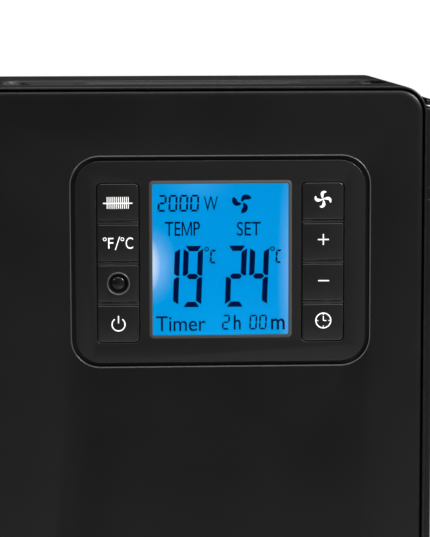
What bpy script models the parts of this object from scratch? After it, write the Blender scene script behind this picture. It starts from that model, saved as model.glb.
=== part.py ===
"""Oil filled radiator heater: seven oil fins, a control tower with a fan heater, castors and a handle.

Lengths below are in millimetres and add_object() turns them into metres. +X runs along the fins towards
the control tower, +Y points to the back and +Z points up. The floor is Z = 0.
"""

import math

import bmesh
import bpy

# ---------------------------------------------------------------- driving sizes
MM = 0.001
CORNER_STEPS = 4  # facets in a quarter turn of the tower's corners
GAP = 0.3  # clearance between neighbouring solids
SLIDE = 0.4  # clearance round pieces that move

FIN_COUNT = 7
FIN_PITCH = 50.0
FIN_DEPTH = 142.0
FIN_HEIGHT = 520.0
FIN_BOTTOM = 82.0
FIN_CORNER = 35.0
FIN_FLANGE = 1.8
FIN_BULGE = 7.0
GROOVE_WIDTH = 20.0
GROOVE_DEPTH = 4.0
HEADER_RADIUS = 24.0
HEADER_BORE = 18.0
HEADER_INSET = 45.0
PLUG_HEIGHT = 4.0

TOWER_WIDTH = 204.0
TOWER_TOP = 630.0
TOWER_BOTTOM = 72.0
TOWER_DEPTH = 146.0
TOWER_GAP = 1.0
SHELL_WALL = 1.0
SHELL_CORNER = 12.0
SEAM = 0.8
COVER_WALL = 2.0
COVER_ROLL = 3.0
REAR_WRAP = 23.7  # how far the rear cover reaches forward
SIDE_PROUD = 3.4
SIDE_DROP = 6.0

PANEL_WIDTH = 130.0  # along the centre line of the groove round the panel
PANEL_HEIGHT = 91.3
PANEL_CORNER = 12.0
PANEL_RIGHT_MARGIN = 26.0
PANEL_TOP_MARGIN = 31.1
GROOVE = 1.3
WINDOW_WIDTH = 60.0
WINDOW_HEIGHT = 67.0
WINDOW_RISE = 0.95
WINDOW_LIP = 1.5
KEY_WIDTH = 18.2
KEY_HEIGHT = 16.2
KEY_PITCH = 17.95
KEY_COLUMN_GAP = 3.0  # between the display cell and a column of keys
KEY_DROP = 0.4
KEY_PROUD = 0.3
KEY_TRAVEL = 1.0

TROUGH_LENGTH = 184.0
TROUGH_WIDTH = 54.0
TROUGH_DEPTH = 24.0
TROUGH_Y = -18.0
TROUGH_CORNER = 14.0
HANDLE_FRONT = 143.0
HANDLE_BACK = 160.0
HANDLE_THICK = 9.0
HINGE_Y = 0.0

OUTLET_WIDTH = 150.0
OUTLET_HEIGHT = 96.0
FAN_Z = 180.0
FAN_RADIUS = 52.0
BLADE_COUNT = 6
INTAKE_SLOTS = 6

RAIL_TOP = 71.7
RAIL_HEIGHT = 14.0
RAIL_WIDTH = 36.0
RAIL_LENGTH = 230.0
RAIL_WALL = 2.0
RIGHT_RAIL_X = 200.0
CASTOR_Y = 96.0
WHEEL_RADIUS = 21.0
WHEEL_WIDTH = 18.0
CASTOR_TRAIL = 12.0
STEM_RADIUS = 4.0
STEM_LENGTH = 16.9
CROWN_TOP = 49.5
FORK_WALL = 2.4
AXLE_RADIUS = 3.0
BOLT_RADIUS = 3.0

# ---------------------------------------------------------------- sizes inside the tower
BEZEL_THICK = 2.6
LIP_PROUD = 0.4
LENS_LEDGE = 3.0
WELL_CLEAR = 0.5
CELL_WIDTH = 66.0
CELL_HEIGHT = 73.0
CELL_THICK = 1.9
STEM_WIDTH = 6.0
STEM_HEIGHT = 5.0
SWITCH_HEIGHT = 3.8
IR_RADIUS = 4.4
BOARD_THICK = 1.6
PIN_RADIUS = 1.3
TRAY_WALL = 1.5
EAR_THICK = 5.0
HANDLE_PIN = 1.9
HANDLE_CLEAR = 2.5
FINGER_LENGTH = 104.0
FINGER_WIDTH = 20.0
SCREW_LENGTH = 12.0
SCREW_BORE = 2.2
TAB_WIDTH = 10.0
TAB_THICK = 2.0
GUSSET = 2.5
RIVET_RADIUS = 2.6
RIVET_REACH = 4.5
SIDE_LIFT = 14.0
NOTCH_DROP = 48.0
SLOT_HEIGHT = 4.0
SLOT_PITCH = 11.0
VENT_SLOTS = 4
LOUVRES = 8
FAN_Y = -12.0
MOTOR_RADIUS = 20.0
MOTOR_SHAFT = 2.4
CUTOUT_Z = 420.0
POWER_Z = 385.0
TILT_X = 255.0
TILT_Y = -30.0
TILT_Z = 108.0
GLAND_RADIUS = 8.2
GLAND_Z = 104.0
KEY_NAMES = {
    (-1, 0): "key_heat",
    (-1, 1): "key_unit",
    (-1, 3): "key_power",
    (1, 0): "key_fan",
    (1, 1): "key_plus",
    (1, 2): "key_minus",
    (1, 3): "key_timer",
}

# ---------------------------------------------------------------- sizes that follow
HEADER_HALF = FIN_PITCH / 2 - GAP / 2
FIN_ROW = FIN_COUNT * FIN_PITCH - GAP
LENGTH = PLUG_HEIGHT + GAP + FIN_ROW + TOWER_GAP + TOWER_WIDTH + SIDE_PROUD
FIRST_FIN = -LENGTH / 2 + PLUG_HEIGHT + GAP + HEADER_HALF
LAST_FIN = FIRST_FIN + (FIN_COUNT - 1) * FIN_PITCH
LOW_HEADER = FIN_BOTTOM + HEADER_INSET
HIGH_HEADER = FIN_BOTTOM + FIN_HEIGHT - HEADER_INSET
TOWER_LEFT = LAST_FIN + HEADER_HALF + TOWER_GAP
TOWER_RIGHT = TOWER_LEFT + TOWER_WIDTH
TOWER_X = (TOWER_LEFT + TOWER_RIGHT) / 2
TOWER_HEIGHT = TOWER_TOP - TOWER_BOTTOM
TOWER_Z = (TOWER_TOP + TOWER_BOTTOM) / 2
FRONT = -TOWER_DEPTH / 2
REAR = TOWER_DEPTH / 2
SHELL_END = REAR - REAR_WRAP - SEAM
COVER_INSET = SHELL_WALL + SEAM
COVER_WIDTH = TOWER_WIDTH - 2 * COVER_INSET
COVER_HEIGHT = TOWER_HEIGHT - 2 * COVER_INSET
COVER_CORNER = SHELL_CORNER - COVER_INSET
COVER_BACK = FRONT + COVER_WALL
COVER_FIX_X = (TOWER_X - TOWER_WIDTH / 2 + 14.0, TOWER_X + TOWER_WIDTH / 2 - 14.0)
COVER_FIX_Z = (TOWER_BOTTOM + 24.0, TOWER_TOP - 36.0)
FRONT_GUSSET = FRONT + 13.0
REAR_GUSSET = SHELL_END - 10.5
SCREW_SEAT = REAR_GUSSET + SCREW_LENGTH - 1.5
PANEL_X = TOWER_RIGHT - PANEL_RIGHT_MARGIN - PANEL_WIDTH / 2
PANEL_Z = TOWER_TOP - PANEL_TOP_MARGIN - PANEL_HEIGHT / 2
FLANGE_FRONT = COVER_BACK + GAP
FLANGE_BACK = FLANGE_FRONT + 1.5
KEY_FLOOR = FRONT + 3.2
KEY_FLOOR_BACK = KEY_FLOOR + 1.2
BOARD_FRONT = FRONT + 13.0
BOARD_BACK = BOARD_FRONT + BOARD_THICK
KEY_COLUMN = CELL_WIDTH / 2 + KEY_COLUMN_GAP + KEY_WIDTH / 2  # column centre from the panel centre
BOARD_PIN_X = KEY_COLUMN + KEY_WIDTH / 2 + 5.3
BOARD_PINS = [(x, z) for x in (-BOARD_PIN_X, BOARD_PIN_X) for z in (-37.0, 37.0)]
FLANGE_PINS = [(x, z) for x in (-67.4, 67.4) for z in (-30.0, 30.0)]
HINGE_Z = TOWER_TOP - GAP - HANDLE_THICK / 2
POWER_X = TOWER_X
POWER_Y = REAR - COVER_WALL - 12.7
POWER_PINS = [(x, z) for x in (-50.0, 50.0) for z in (-40.0, 40.0)]
GLAND_X = TOWER_X + 60.0
LEFT_RAIL_X = FIRST_FIN + FIN_PITCH / 2
STEM_TOP = CROWN_TOP + STEM_LENGTH
FORK_HALF = WHEEL_WIDTH / 2 + 1.0 + FORK_WALL + 0.1
RAIL_RIVETS = [(RIGHT_RAIL_X + x, y) for x in (-9.0, 9.0) for y in (-50.0, 35.0)]
CASTORS = (
    ("front_left", LEFT_RAIL_X, -CASTOR_Y),
    ("rear_left", LEFT_RAIL_X, CASTOR_Y),
    ("front_right", RIGHT_RAIL_X, -CASTOR_Y),
    ("rear_right", RIGHT_RAIL_X, CASTOR_Y),
)

COLOURS = {
    "satin_black": ((0.012, 0.012, 0.013), 0.0, 0.35),
    "black_plastic": ((0.02, 0.02, 0.021), 0.0, 0.45),
    "dark_metal": ((0.05, 0.05, 0.052), 0.3, 0.4),
    "steel": ((0.55, 0.55, 0.56), 1.0, 0.3),
    "aluminium": ((0.7, 0.7, 0.71), 1.0, 0.35),
    "brass": ((0.7, 0.5, 0.2), 1.0, 0.3),
    "green_board": ((0.02, 0.16, 0.07), 0.0, 0.5),
    "blue_display": ((0.0, 0.35, 0.8), 0.0, 0.2),
    "white_plastic": ((0.75, 0.75, 0.73), 0.0, 0.5),
    "grey_rubber": ((0.1, 0.1, 0.1), 0.0, 0.8),
    "ceramic": ((0.6, 0.58, 0.52), 0.0, 0.7),
}


# ---------------------------------------------------------------- shapes
def rounded(width, height, radius, steps=5, centre=(0.0, 0.0)):
    """Rounded rectangle as points in order, starting at the right of its upper right corner."""
    points = []
    for quarter, (sign_u, sign_v) in enumerate(((1, 1), (-1, 1), (-1, -1), (1, -1))):
        corner_u = centre[0] + sign_u * (width / 2 - radius)
        corner_v = centre[1] + sign_v * (height / 2 - radius)
        for step in range(steps + 1):
            angle = math.radians(90 * quarter + 90 * step / steps)
            points.append((corner_u + radius * math.cos(angle), corner_v + radius * math.sin(angle)))
    return points


def rectangle(width, height, centre=(0.0, 0.0)):
    signs = ((1, 1), (-1, 1), (-1, -1), (1, -1))
    return [(centre[0] + u * width / 2, centre[1] + v * height / 2) for u, v in signs]


def circle(radius, centre=(0.0, 0.0), segments=24):
    angles = [2 * math.pi * step / segments for step in range(segments)]
    return [(centre[0] + radius * math.cos(a), centre[1] + radius * math.sin(a)) for a in angles]


def ring(outline, axis, along):
    """The outline as points in space, at a distance along the axis that it faces."""
    if axis == "X":
        return [(along, u, v) for u, v in outline]
    if axis == "Y":
        return [(u, along, v) for u, v in outline]
    return [(u, v, along) for u, v in outline]


def loft(rings, closed=False):
    """A solid through rings of equal count. A closed one joins its last ring to its first."""
    count = len(rings[0])
    points = [point for one in rings for point in one]
    faces = []
    for index in range(len(rings) if closed else len(rings) - 1):
        start = index * count
        other = (index + 1) % len(rings) * count
        for step in range(count):
            after = (step + 1) % count
            faces.append((start + step, start + after, other + after, other + step))
    if not closed:
        faces.append(tuple(range(count - 1, -1, -1)))
        faces.append(tuple(range(len(points) - count, len(points))))
    return points, faces


def prism(outline, axis, low, high):
    return loft([ring(outline, axis, low), ring(outline, axis, high)])


def block(x, y, z):
    """A box from (low, high) pairs."""
    middle = ((x[0] + x[1]) / 2, (z[0] + z[1]) / 2)
    return prism(rectangle(x[1] - x[0], z[1] - z[0], middle), "Y", y[0], y[1])


def rod(radius, axis, centre, low, high, segments=24):
    return prism(circle(radius, centre, segments), axis, low, high)


def turned(profile, axis, centre, segments=24):
    """Solid of revolution with flat ends, from (radius, along) pairs."""
    return loft([ring(circle(radius, centre, segments), axis, along) for radius, along in profile])


def turned_ring(profile, axis, centre, segments=24):
    """Solid of revolution with a hole, from a closed loop of (radius, along) pairs."""
    return loft([ring(circle(r, centre, segments), axis, along) for r, along in profile], closed=True)


def turned_about_y(solid, degrees, x, z):
    """The solid turned about an axis along Y that passes through (x, z)."""
    cos, sin = math.cos(math.radians(degrees)), math.sin(math.radians(degrees))
    points = [
        (x + (p[0] - x) * cos + (p[2] - z) * sin, p[1], z - (p[0] - x) * sin + (p[2] - z) * cos)
        for p in solid[0]
    ]
    return points, solid[1]


def together(solids):
    """Several solids as one list of points and faces."""
    points = []
    faces = []
    for more_points, more_faces in solids:
        start = len(points)
        points.extend(more_points)
        faces.extend(tuple(start + index for index in face) for face in more_faces)
    return points, faces


# ---------------------------------------------------------------- objects
def clear_scene():
    for item in list(bpy.data.objects):
        bpy.data.objects.remove(item, do_unlink=True)


def material(name, kind):
    colour, metallic, roughness = COLOURS[kind]
    made = bpy.data.materials.new(name)
    made.use_nodes = True
    shader = made.node_tree.nodes["Principled BSDF"]
    shader.inputs["Base Color"].default_value = (*colour, 1.0)
    shader.inputs["Metallic"].default_value = metallic
    shader.inputs["Roughness"].default_value = roughness
    made.diffuse_color = (*colour, 1.0)
    return made


def add_object(name, solid, kind, pivot=(0.0, 0.0, 0.0)):
    """One object from a solid in millimetres. Its origin is at the pivot."""
    points, faces = solid
    built = bmesh.new()
    corners = [built.verts.new([(p - c) * MM for p, c in zip(point, pivot)]) for point in points]
    for face in faces:
        built.faces.new([corners[index] for index in face])
    bmesh.ops.recalc_face_normals(built, faces=built.faces)
    mesh = bpy.data.meshes.new(name)
    built.to_mesh(mesh)
    built.free()
    mesh.shade_smooth()
    mesh.set_sharp_from_angle(angle=math.radians(32))
    mesh.materials.append(material(name, kind))
    made = bpy.data.objects.new(name, mesh)
    made.location = [c * MM for c in pivot]
    bpy.context.scene.collection.objects.link(made)
    return made


def helper(target, solids, operation):
    """Adds a Boolean with a hidden helper made of solids that don't touch each other."""
    name = f"{target.name}_{operation.lower()}_{len(target.modifiers)}"
    tool = add_object(name, together(solids), "steel")
    tool.hide_render = True
    tool.display_type = "WIRE"
    boolean = target.modifiers.new(name, "BOOLEAN")
    boolean.operation = operation
    boolean.solver = "EXACT"
    boolean.object = tool


def cut(target, *solids):
    helper(target, solids, "DIFFERENCE")


def join(target, *solids):
    helper(target, solids, "UNION")


# ---------------------------------------------------------------- oil fins
def fin(index):
    """Two stamped halves seamed round the edge, with a header boss at the top and at the bottom.

    The bores run on from fin to fin, and the last fin closes the upper one."""
    x = FIRST_FIN + index * FIN_PITCH
    centre = (0.0, FIN_BOTTOM + FIN_HEIGHT / 2)
    sections = (
        (17.0, -FIN_BULGE),
        (10.0, -FIN_FLANGE / 2),
        (0.0, -FIN_FLANGE / 2),
        (0.0, FIN_FLANGE / 2),
        (10.0, FIN_FLANGE / 2),
        (17.0, FIN_BULGE),
    )
    rings = [
        ring(
            rounded(FIN_DEPTH - 2 * inset, FIN_HEIGHT - 2 * inset, FIN_CORNER - inset, 3, centre),
            "X",
            x + along,
        )
        for inset, along in sections
    ]
    made = add_object(f"fin_{index + 1}", loft(rings), "satin_black")
    bosses = [
        rod(HEADER_RADIUS, "X", (0.0, z), x - HEADER_HALF, x + HEADER_HALF, 12)
        for z in (LOW_HEADER, HIGH_HEADER)
    ]
    join(made, *bosses)
    grooves = []
    for side in (-1, 1):
        low, high = sorted((x + side * (FIN_BULGE - GROOVE_DEPTH), x + side * (FIN_BULGE + 2.0)))
        long_way = (FIN_BOTTOM + 85.0, FIN_BOTTOM + FIN_HEIGHT - 85.0)
        grooves.append(block((low, high), (-GROOVE_WIDTH / 2, GROOVE_WIDTH / 2), long_way))
    upper_end = x + FIN_PITCH if index < FIN_COUNT - 1 else x + HEADER_HALF - 3.0
    low_bore = rod(HEADER_BORE, "X", (0.0, LOW_HEADER), x - FIN_PITCH, x + FIN_PITCH, 12)
    high_bore = rod(HEADER_BORE, "X", (0.0, HIGH_HEADER), x - FIN_PITCH, upper_end, 12)
    cut(made, *grooves, low_bore, high_bore)


def header_plugs():
    """Threaded plugs that close the left ends of the two headers. The upper one is the oil filler."""
    left = FIRST_FIN - HEADER_HALF
    for name, z in (("header_plug_low", LOW_HEADER), ("header_plug_high", HIGH_HEADER)):
        profile = (
            (20.0, left - GAP - PLUG_HEIGHT),
            (21.5, left - GAP - 1.5),
            (21.5, left - GAP),
            (HEADER_BORE - SLIDE, left - GAP),
            (HEADER_BORE - SLIDE, left + 12.0),
        )
        add_object(name, turned(profile, "X", (0.0, z), 12), "steel")


def heating_element():
    """Hairpin sheath in the lower header, with its flange and two terminals inside the tower."""
    face = LAST_FIN + HEADER_HALF + GAP
    made = add_object("heating_element", rod(22.0, "X", (0.0, LOW_HEADER), face, face + 3.0, 16), "steel")
    legs = [rod(4.0, "X", (y, LOW_HEADER), FIRST_FIN, face + 1.0, 8) for y in (-8.0, 8.0)]
    terminals = [rod(2.5, "X", (y, LOW_HEADER), face + 2.0, face + 22.0, 8) for y in (-8.0, 8.0)]
    join(made, *legs, *terminals)
    join(made, rod(3.9, "Y", (FIRST_FIN + 4.0, LOW_HEADER), -11.0, 11.0, 8))


# ---------------------------------------------------------------- control tower
def tower_outline(inset):
    """Outline of the tower seen from the front, moved inwards."""
    return rounded(
        TOWER_WIDTH - 2 * inset,
        TOWER_HEIGHT - 2 * inset,
        SHELL_CORNER - inset,
        CORNER_STEPS,
        (TOWER_X, TOWER_Z),
    )


def gussets(y, reach):
    """Four tabs that run inwards from the side walls of the shell, past the points where the covers fix."""
    solids = []
    for side, x in zip((-1, 1), COVER_FIX_X):
        wall = TOWER_X + side * (TOWER_WIDTH / 2 - SHELL_WALL / 2)
        across = sorted((wall, x - side * reach))
        solids += [block(across, (y, y + GUSSET), (z - 8.0, z + 8.0)) for z in COVER_FIX_Z]
    return solids


def tower_shell():
    """Sheet sleeve with a floor and a top, open at the front and at the back."""
    made = add_object("tower_shell", prism(tower_outline(0.0), "Y", FRONT, SHELL_END), "satin_black")
    cut(made, prism(tower_outline(SHELL_WALL), "Y", FRONT - 5.0, SHELL_END + 5.0))
    rivets = [
        rod(RIVET_RADIUS, "Z", point, RAIL_TOP - RIVET_REACH, TOWER_BOTTOM + SHELL_WALL / 2, 8)
        for point in RAIL_RIVETS
    ]
    join(made, *gussets(FRONT_GUSSET, 8.0), *gussets(REAR_GUSSET, 8.0), *rivets)
    trough = rounded(TROUGH_LENGTH, TROUGH_WIDTH, TROUGH_CORNER, CORNER_STEPS, (TOWER_X, TROUGH_Y))
    holes = [prism(trough, "Z", TOWER_TOP - 3.0, TOWER_TOP + 3.0)]
    holes.append(rod(25.0, "X", (0.0, LOW_HEADER), TOWER_LEFT - 2.0, TOWER_LEFT + 3.0))
    for x in COVER_FIX_X:
        for z in COVER_FIX_Z:
            slot = (x - TAB_WIDTH / 2 - SLIDE, x + TAB_WIDTH / 2 + SLIDE)
            tall = (z - TAB_THICK / 2 - SLIDE, z + TAB_THICK / 2 + SLIDE)
            holes.append(block(slot, (FRONT_GUSSET - 2.0, FRONT_GUSSET + 6.0), tall))
            holes.append(rod(SCREW_BORE, "Y", (x, z), REAR_GUSSET - 2.0, REAR_GUSSET + 6.0, 12))
    cut(made, *holes)


def front_cover():
    """Flat tray with a rolled edge, cut out for the control panel and for the warm air outlet.

    Four barbed tabs snap through slots in the shell's gussets. Four pins hold the panel and are heat staked.
    """
    centre = (TOWER_X, TOWER_Z)
    depth = 11.0
    sections = ((COVER_ROLL, 0.0), (COVER_ROLL * 0.29, COVER_ROLL * 0.29), (0.0, COVER_ROLL), (0.0, depth))
    outer = []
    for inset, back in sections:
        width, height = COVER_WIDTH - 2 * inset, COVER_HEIGHT - 2 * inset
        outline = rounded(width, height, COVER_CORNER - inset * 0.6, CORNER_STEPS, centre)
        outer.append(ring(outline, "Y", FRONT + back))
    made = add_object("front_cover", loft(outer), "satin_black")
    width, height = COVER_WIDTH - 2 * COVER_WALL, COVER_HEIGHT - 2 * COVER_WALL
    inside = rounded(width, height, COVER_CORNER - COVER_WALL, CORNER_STEPS, centre)
    cut(made, prism(inside, "Y", COVER_BACK, FRONT + depth + 5.0))
    tabs = []
    barbs = []
    for x in COVER_FIX_X:
        for z in COVER_FIX_Z:
            wide = (x - TAB_WIDTH / 2, x + TAB_WIDTH / 2)
            tall = (z - TAB_THICK / 2, z + TAB_THICK / 2)
            past = FRONT_GUSSET + GUSSET + GAP
            tabs.append(block(wide, (COVER_BACK - 0.6, past + 3.0), tall))
            barbs.append(block(wide, (past, past + 2.4), (tall[0] + 0.2, tall[1] + 1.4)))
    panel = (PANEL_WIDTH + GROOVE, PANEL_HEIGHT + GROOVE, PANEL_CORNER + GROOVE / 2)
    outlet = rounded(OUTLET_WIDTH, OUTLET_HEIGHT, 6.0, 2, (TOWER_X, FAN_Z))
    holes = [rounded(*panel, CORNER_STEPS, (PANEL_X, PANEL_Z)), outlet]
    cut(made, *[prism(outline, "Y", FRONT - 2.0, COVER_BACK + 2.0) for outline in holes])
    pins = [
        rod(PIN_RADIUS, "Y", (PANEL_X + x, PANEL_Z + z), COVER_BACK - 0.6, FLANGE_BACK + 1.5, 8)
        for x, z in FLANGE_PINS
    ]
    join(made, *tabs)
    join(made, *barbs)
    join(made, *pins)


def rear_cover():
    """Deeper tray that closes the back, with air slots, screw wells and pins for the power board."""
    centre = (TOWER_X, TOWER_Z)
    start = SHELL_END + SEAM
    outer = []
    for inset, y in ((0.0, start), (0.0, REAR - 3.0), (0.87, REAR - 0.87), (3.0, REAR)):
        width, height = TOWER_WIDTH - 2 * inset, TOWER_HEIGHT - 2 * inset
        outer.append(ring(rounded(width, height, SHELL_CORNER - inset * 0.6, CORNER_STEPS, centre), "Y", y))
    made = add_object("rear_cover", loft(outer), "satin_black")
    join(made, prism(tower_outline(SHELL_WALL + GAP), "Y", start - 6.0, start + 3.0))
    inside = tower_outline(SHELL_WALL + GAP + 1.4)
    cut(made, prism(inside, "Y", start - 10.0, REAR - COVER_WALL))
    back = REAR - COVER_WALL + 0.6
    seats = [
        rod(5.5, "Y", (x, z), REAR_GUSSET + GUSSET + GAP, back, 12) for x in COVER_FIX_X for z in COVER_FIX_Z
    ]
    posts = []
    pins = []
    for x, z in POWER_PINS:
        point = (POWER_X + x, POWER_Z + z)
        posts.append(rod(3.0, "Y", point, POWER_Y + BOARD_THICK + GAP, back, 8))
        pins.append(rod(PIN_RADIUS, "Y", point, POWER_Y - 1.5, back - 1.0, 8))
    join(made, *seats)
    join(made, *posts)
    join(made, *pins)
    holes = []
    wells = []
    for x in COVER_FIX_X:
        for z in COVER_FIX_Z:
            holes.append(rod(SCREW_BORE, "Y", (x, z), REAR_GUSSET, REAR + 2.0, 10))
            wells.append(rod(4.0, "Y", (x, z), SCREW_SEAT - GAP, REAR + 3.0, 12))
    for count, width, middle in ((INTAKE_SLOTS, 110.0, FAN_Z), (VENT_SLOTS, 90.0, PANEL_Z)):
        for slot in range(count):
            z = middle + (slot - (count - 1) / 2) * SLOT_PITCH
            outline = rounded(width, SLOT_HEIGHT, SLOT_HEIGHT / 2 - 0.4, 1, (TOWER_X, z))
            holes.append(prism(outline, "Y", REAR - 5.0, REAR + 2.0))
    holes.append(rod(GLAND_RADIUS + SLIDE, "Y", (GLAND_X, GLAND_Z), REAR - 5.0, REAR + 2.0, 14))
    cut(made, *holes)
    cut(made, *wells)


def cover_screws():
    """Four pan-head screws at the bottom of the rear cover's wells."""
    names = ("low_left", "high_left", "low_right", "high_right")
    places = [(x, z) for x in COVER_FIX_X for z in COVER_FIX_Z]
    for name, point in zip(names, places):
        profile = (
            (2.8, SCREW_SEAT + 2.5),
            (3.5, SCREW_SEAT + 1.5),
            (3.5, SCREW_SEAT),
            (1.9, SCREW_SEAT),
            (1.9, SCREW_SEAT - SCREW_LENGTH),
        )
        add_object(f"cover_screw_{name}", turned(profile, "Y", point, 10), "steel")


def side_panel():
    """Shallow raised panel on the outer side of the tower, with two finger notches in its front edge."""
    height = TOWER_HEIGHT - SIDE_DROP - SIDE_LIFT
    middle_z = TOWER_TOP - SIDE_DROP - height / 2
    y_low, y_high = FRONT + 4.0, SHELL_END - 4.0
    outer_face = TOWER_RIGHT + SIDE_PROUD
    rings = []
    for inset, x in ((0.0, TOWER_RIGHT + GAP), (0.0, outer_face - 1.0), (1.0, outer_face)):
        size = (y_high - y_low - 2 * inset, height - 2 * inset, 6.0 - inset)
        rings.append(ring(rounded(*size, 4, ((y_low + y_high) / 2, middle_z)), "X", x))
    made = add_object("side_panel", loft(rings), "satin_black")
    notches = []
    for z in (TOWER_TOP - NOTCH_DROP, TOWER_BOTTOM + NOTCH_DROP):
        notch = rounded(10.0, 7.0, 1.5, 3, (y_low, z))
        notches.append(prism(notch, "X", outer_face - 1.6, outer_face + 2.0))
    cut(made, *notches)


def handle_tray():
    """Liner of the recess in the top, with a flange under the sheet and two hinge ears."""
    middle = (TOWER_X, TROUGH_Y)
    length, width = TROUGH_LENGTH - 2 * SLIDE, TROUGH_WIDTH - 2 * SLIDE
    floor = TOWER_TOP - TROUGH_DEPTH
    body = prism(rounded(length, width, TROUGH_CORNER - SLIDE, CORNER_STEPS, middle), "Z", floor, TOWER_TOP)
    made = add_object("handle_tray", body, "black_plastic")
    under = TOWER_TOP - SHELL_WALL - 3 * GAP
    flange = rounded(length + 2.4, width + 8.0, TROUGH_CORNER - SLIDE + 1.0, 3, middle)
    join(made, prism(flange, "Z", under - 1.6, under))
    inset = SLIDE + TRAY_WALL
    length = TROUGH_LENGTH - 2 * inset
    width = TROUGH_WIDTH - 2 * inset
    inner = rounded(length, width, TROUGH_CORNER - inset, CORNER_STEPS, middle)
    cut(made, prism(inner, "Z", floor + TRAY_WALL, TOWER_TOP + 5.0))
    ears = []
    holes = []
    for side in (-1, 1):
        near = TOWER_X + side * (HANDLE_BACK / 2 + SLIDE)
        across = sorted((near, near + side * EAR_THICK))
        ears.append(block(across, (HINGE_Y - 5.0, HINGE_Y + 5.0), (floor + 1.0, HINGE_Z + 3.6)))
        holes.append(rod(HANDLE_PIN + GAP, "X", (HINGE_Y, HINGE_Z), across[0] - 1.0, across[1] + 1.0, 10))
    join(made, *ears)
    cut(made, *holes)


def handle():
    """Flush lid-shaped grip, wider at its hinged back edge, with a finger opening through it."""
    pivot = (TOWER_X, HINGE_Y, HINGE_Z)
    front_y = TROUGH_Y - TROUGH_WIDTH / 2 + SLIDE + TRAY_WALL + HANDLE_CLEAR
    back_y = HINGE_Y + HANDLE_THICK / 2
    outline = []
    for across, along in rounded(2.0, 2.0, 0.24, 4):
        share = (along + 1) / 2
        half = (HANDLE_FRONT + (HANDLE_BACK - HANDLE_FRONT) * share) / 2
        outline.append((TOWER_X + across * half, front_y + (back_y - front_y) * share))
    rings = []
    for shrink, z in ((0.985, 0.0), (1.0, 0.8), (1.0, HANDLE_THICK - 0.8), (0.985, HANDLE_THICK)):
        scaled = [(TOWER_X + (x - TOWER_X) * shrink, y) for x, y in outline]
        rings.append(ring(scaled, "Z", HINGE_Z - HANDLE_THICK / 2 + z))
    made = add_object("handle", loft(rings), "black_plastic", pivot)
    middle_y = (front_y + back_y) / 2 + 1.0
    opening = rounded(FINGER_LENGTH, FINGER_WIDTH, 8.0, 4, (TOWER_X, middle_y))
    cut(made, prism(opening, "Z", HINGE_Z - HANDLE_THICK, HINGE_Z + HANDLE_THICK))
    sockets = []
    for name, side in (("left", -1), ("right", 1)):
        edge = TOWER_X + side * HANDLE_BACK / 2
        low, high = sorted((edge - side * 9.0, edge + side * 2.0))
        sockets.append(rod(HANDLE_PIN + SLIDE, "X", (HINGE_Y, HINGE_Z), low, high, 10))
        low, high = sorted((edge - side * 8.5, edge + side * (SLIDE + EAR_THICK)))
        pin = rod(HANDLE_PIN, "X", (HINGE_Y, HINGE_Z), low, high, 10)
        add_object(f"handle_pin_{name}", pin, "steel")
    cut(made, *sockets)


# ---------------------------------------------------------------- control panel
def key_centre(column, row):
    return PANEL_X + column * KEY_COLUMN, PANEL_Z - KEY_DROP + (1.5 - row) * KEY_PITCH


def panel_points(offsets):
    return [(PANEL_X + x, PANEL_Z + z) for x, z in offsets]


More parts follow.
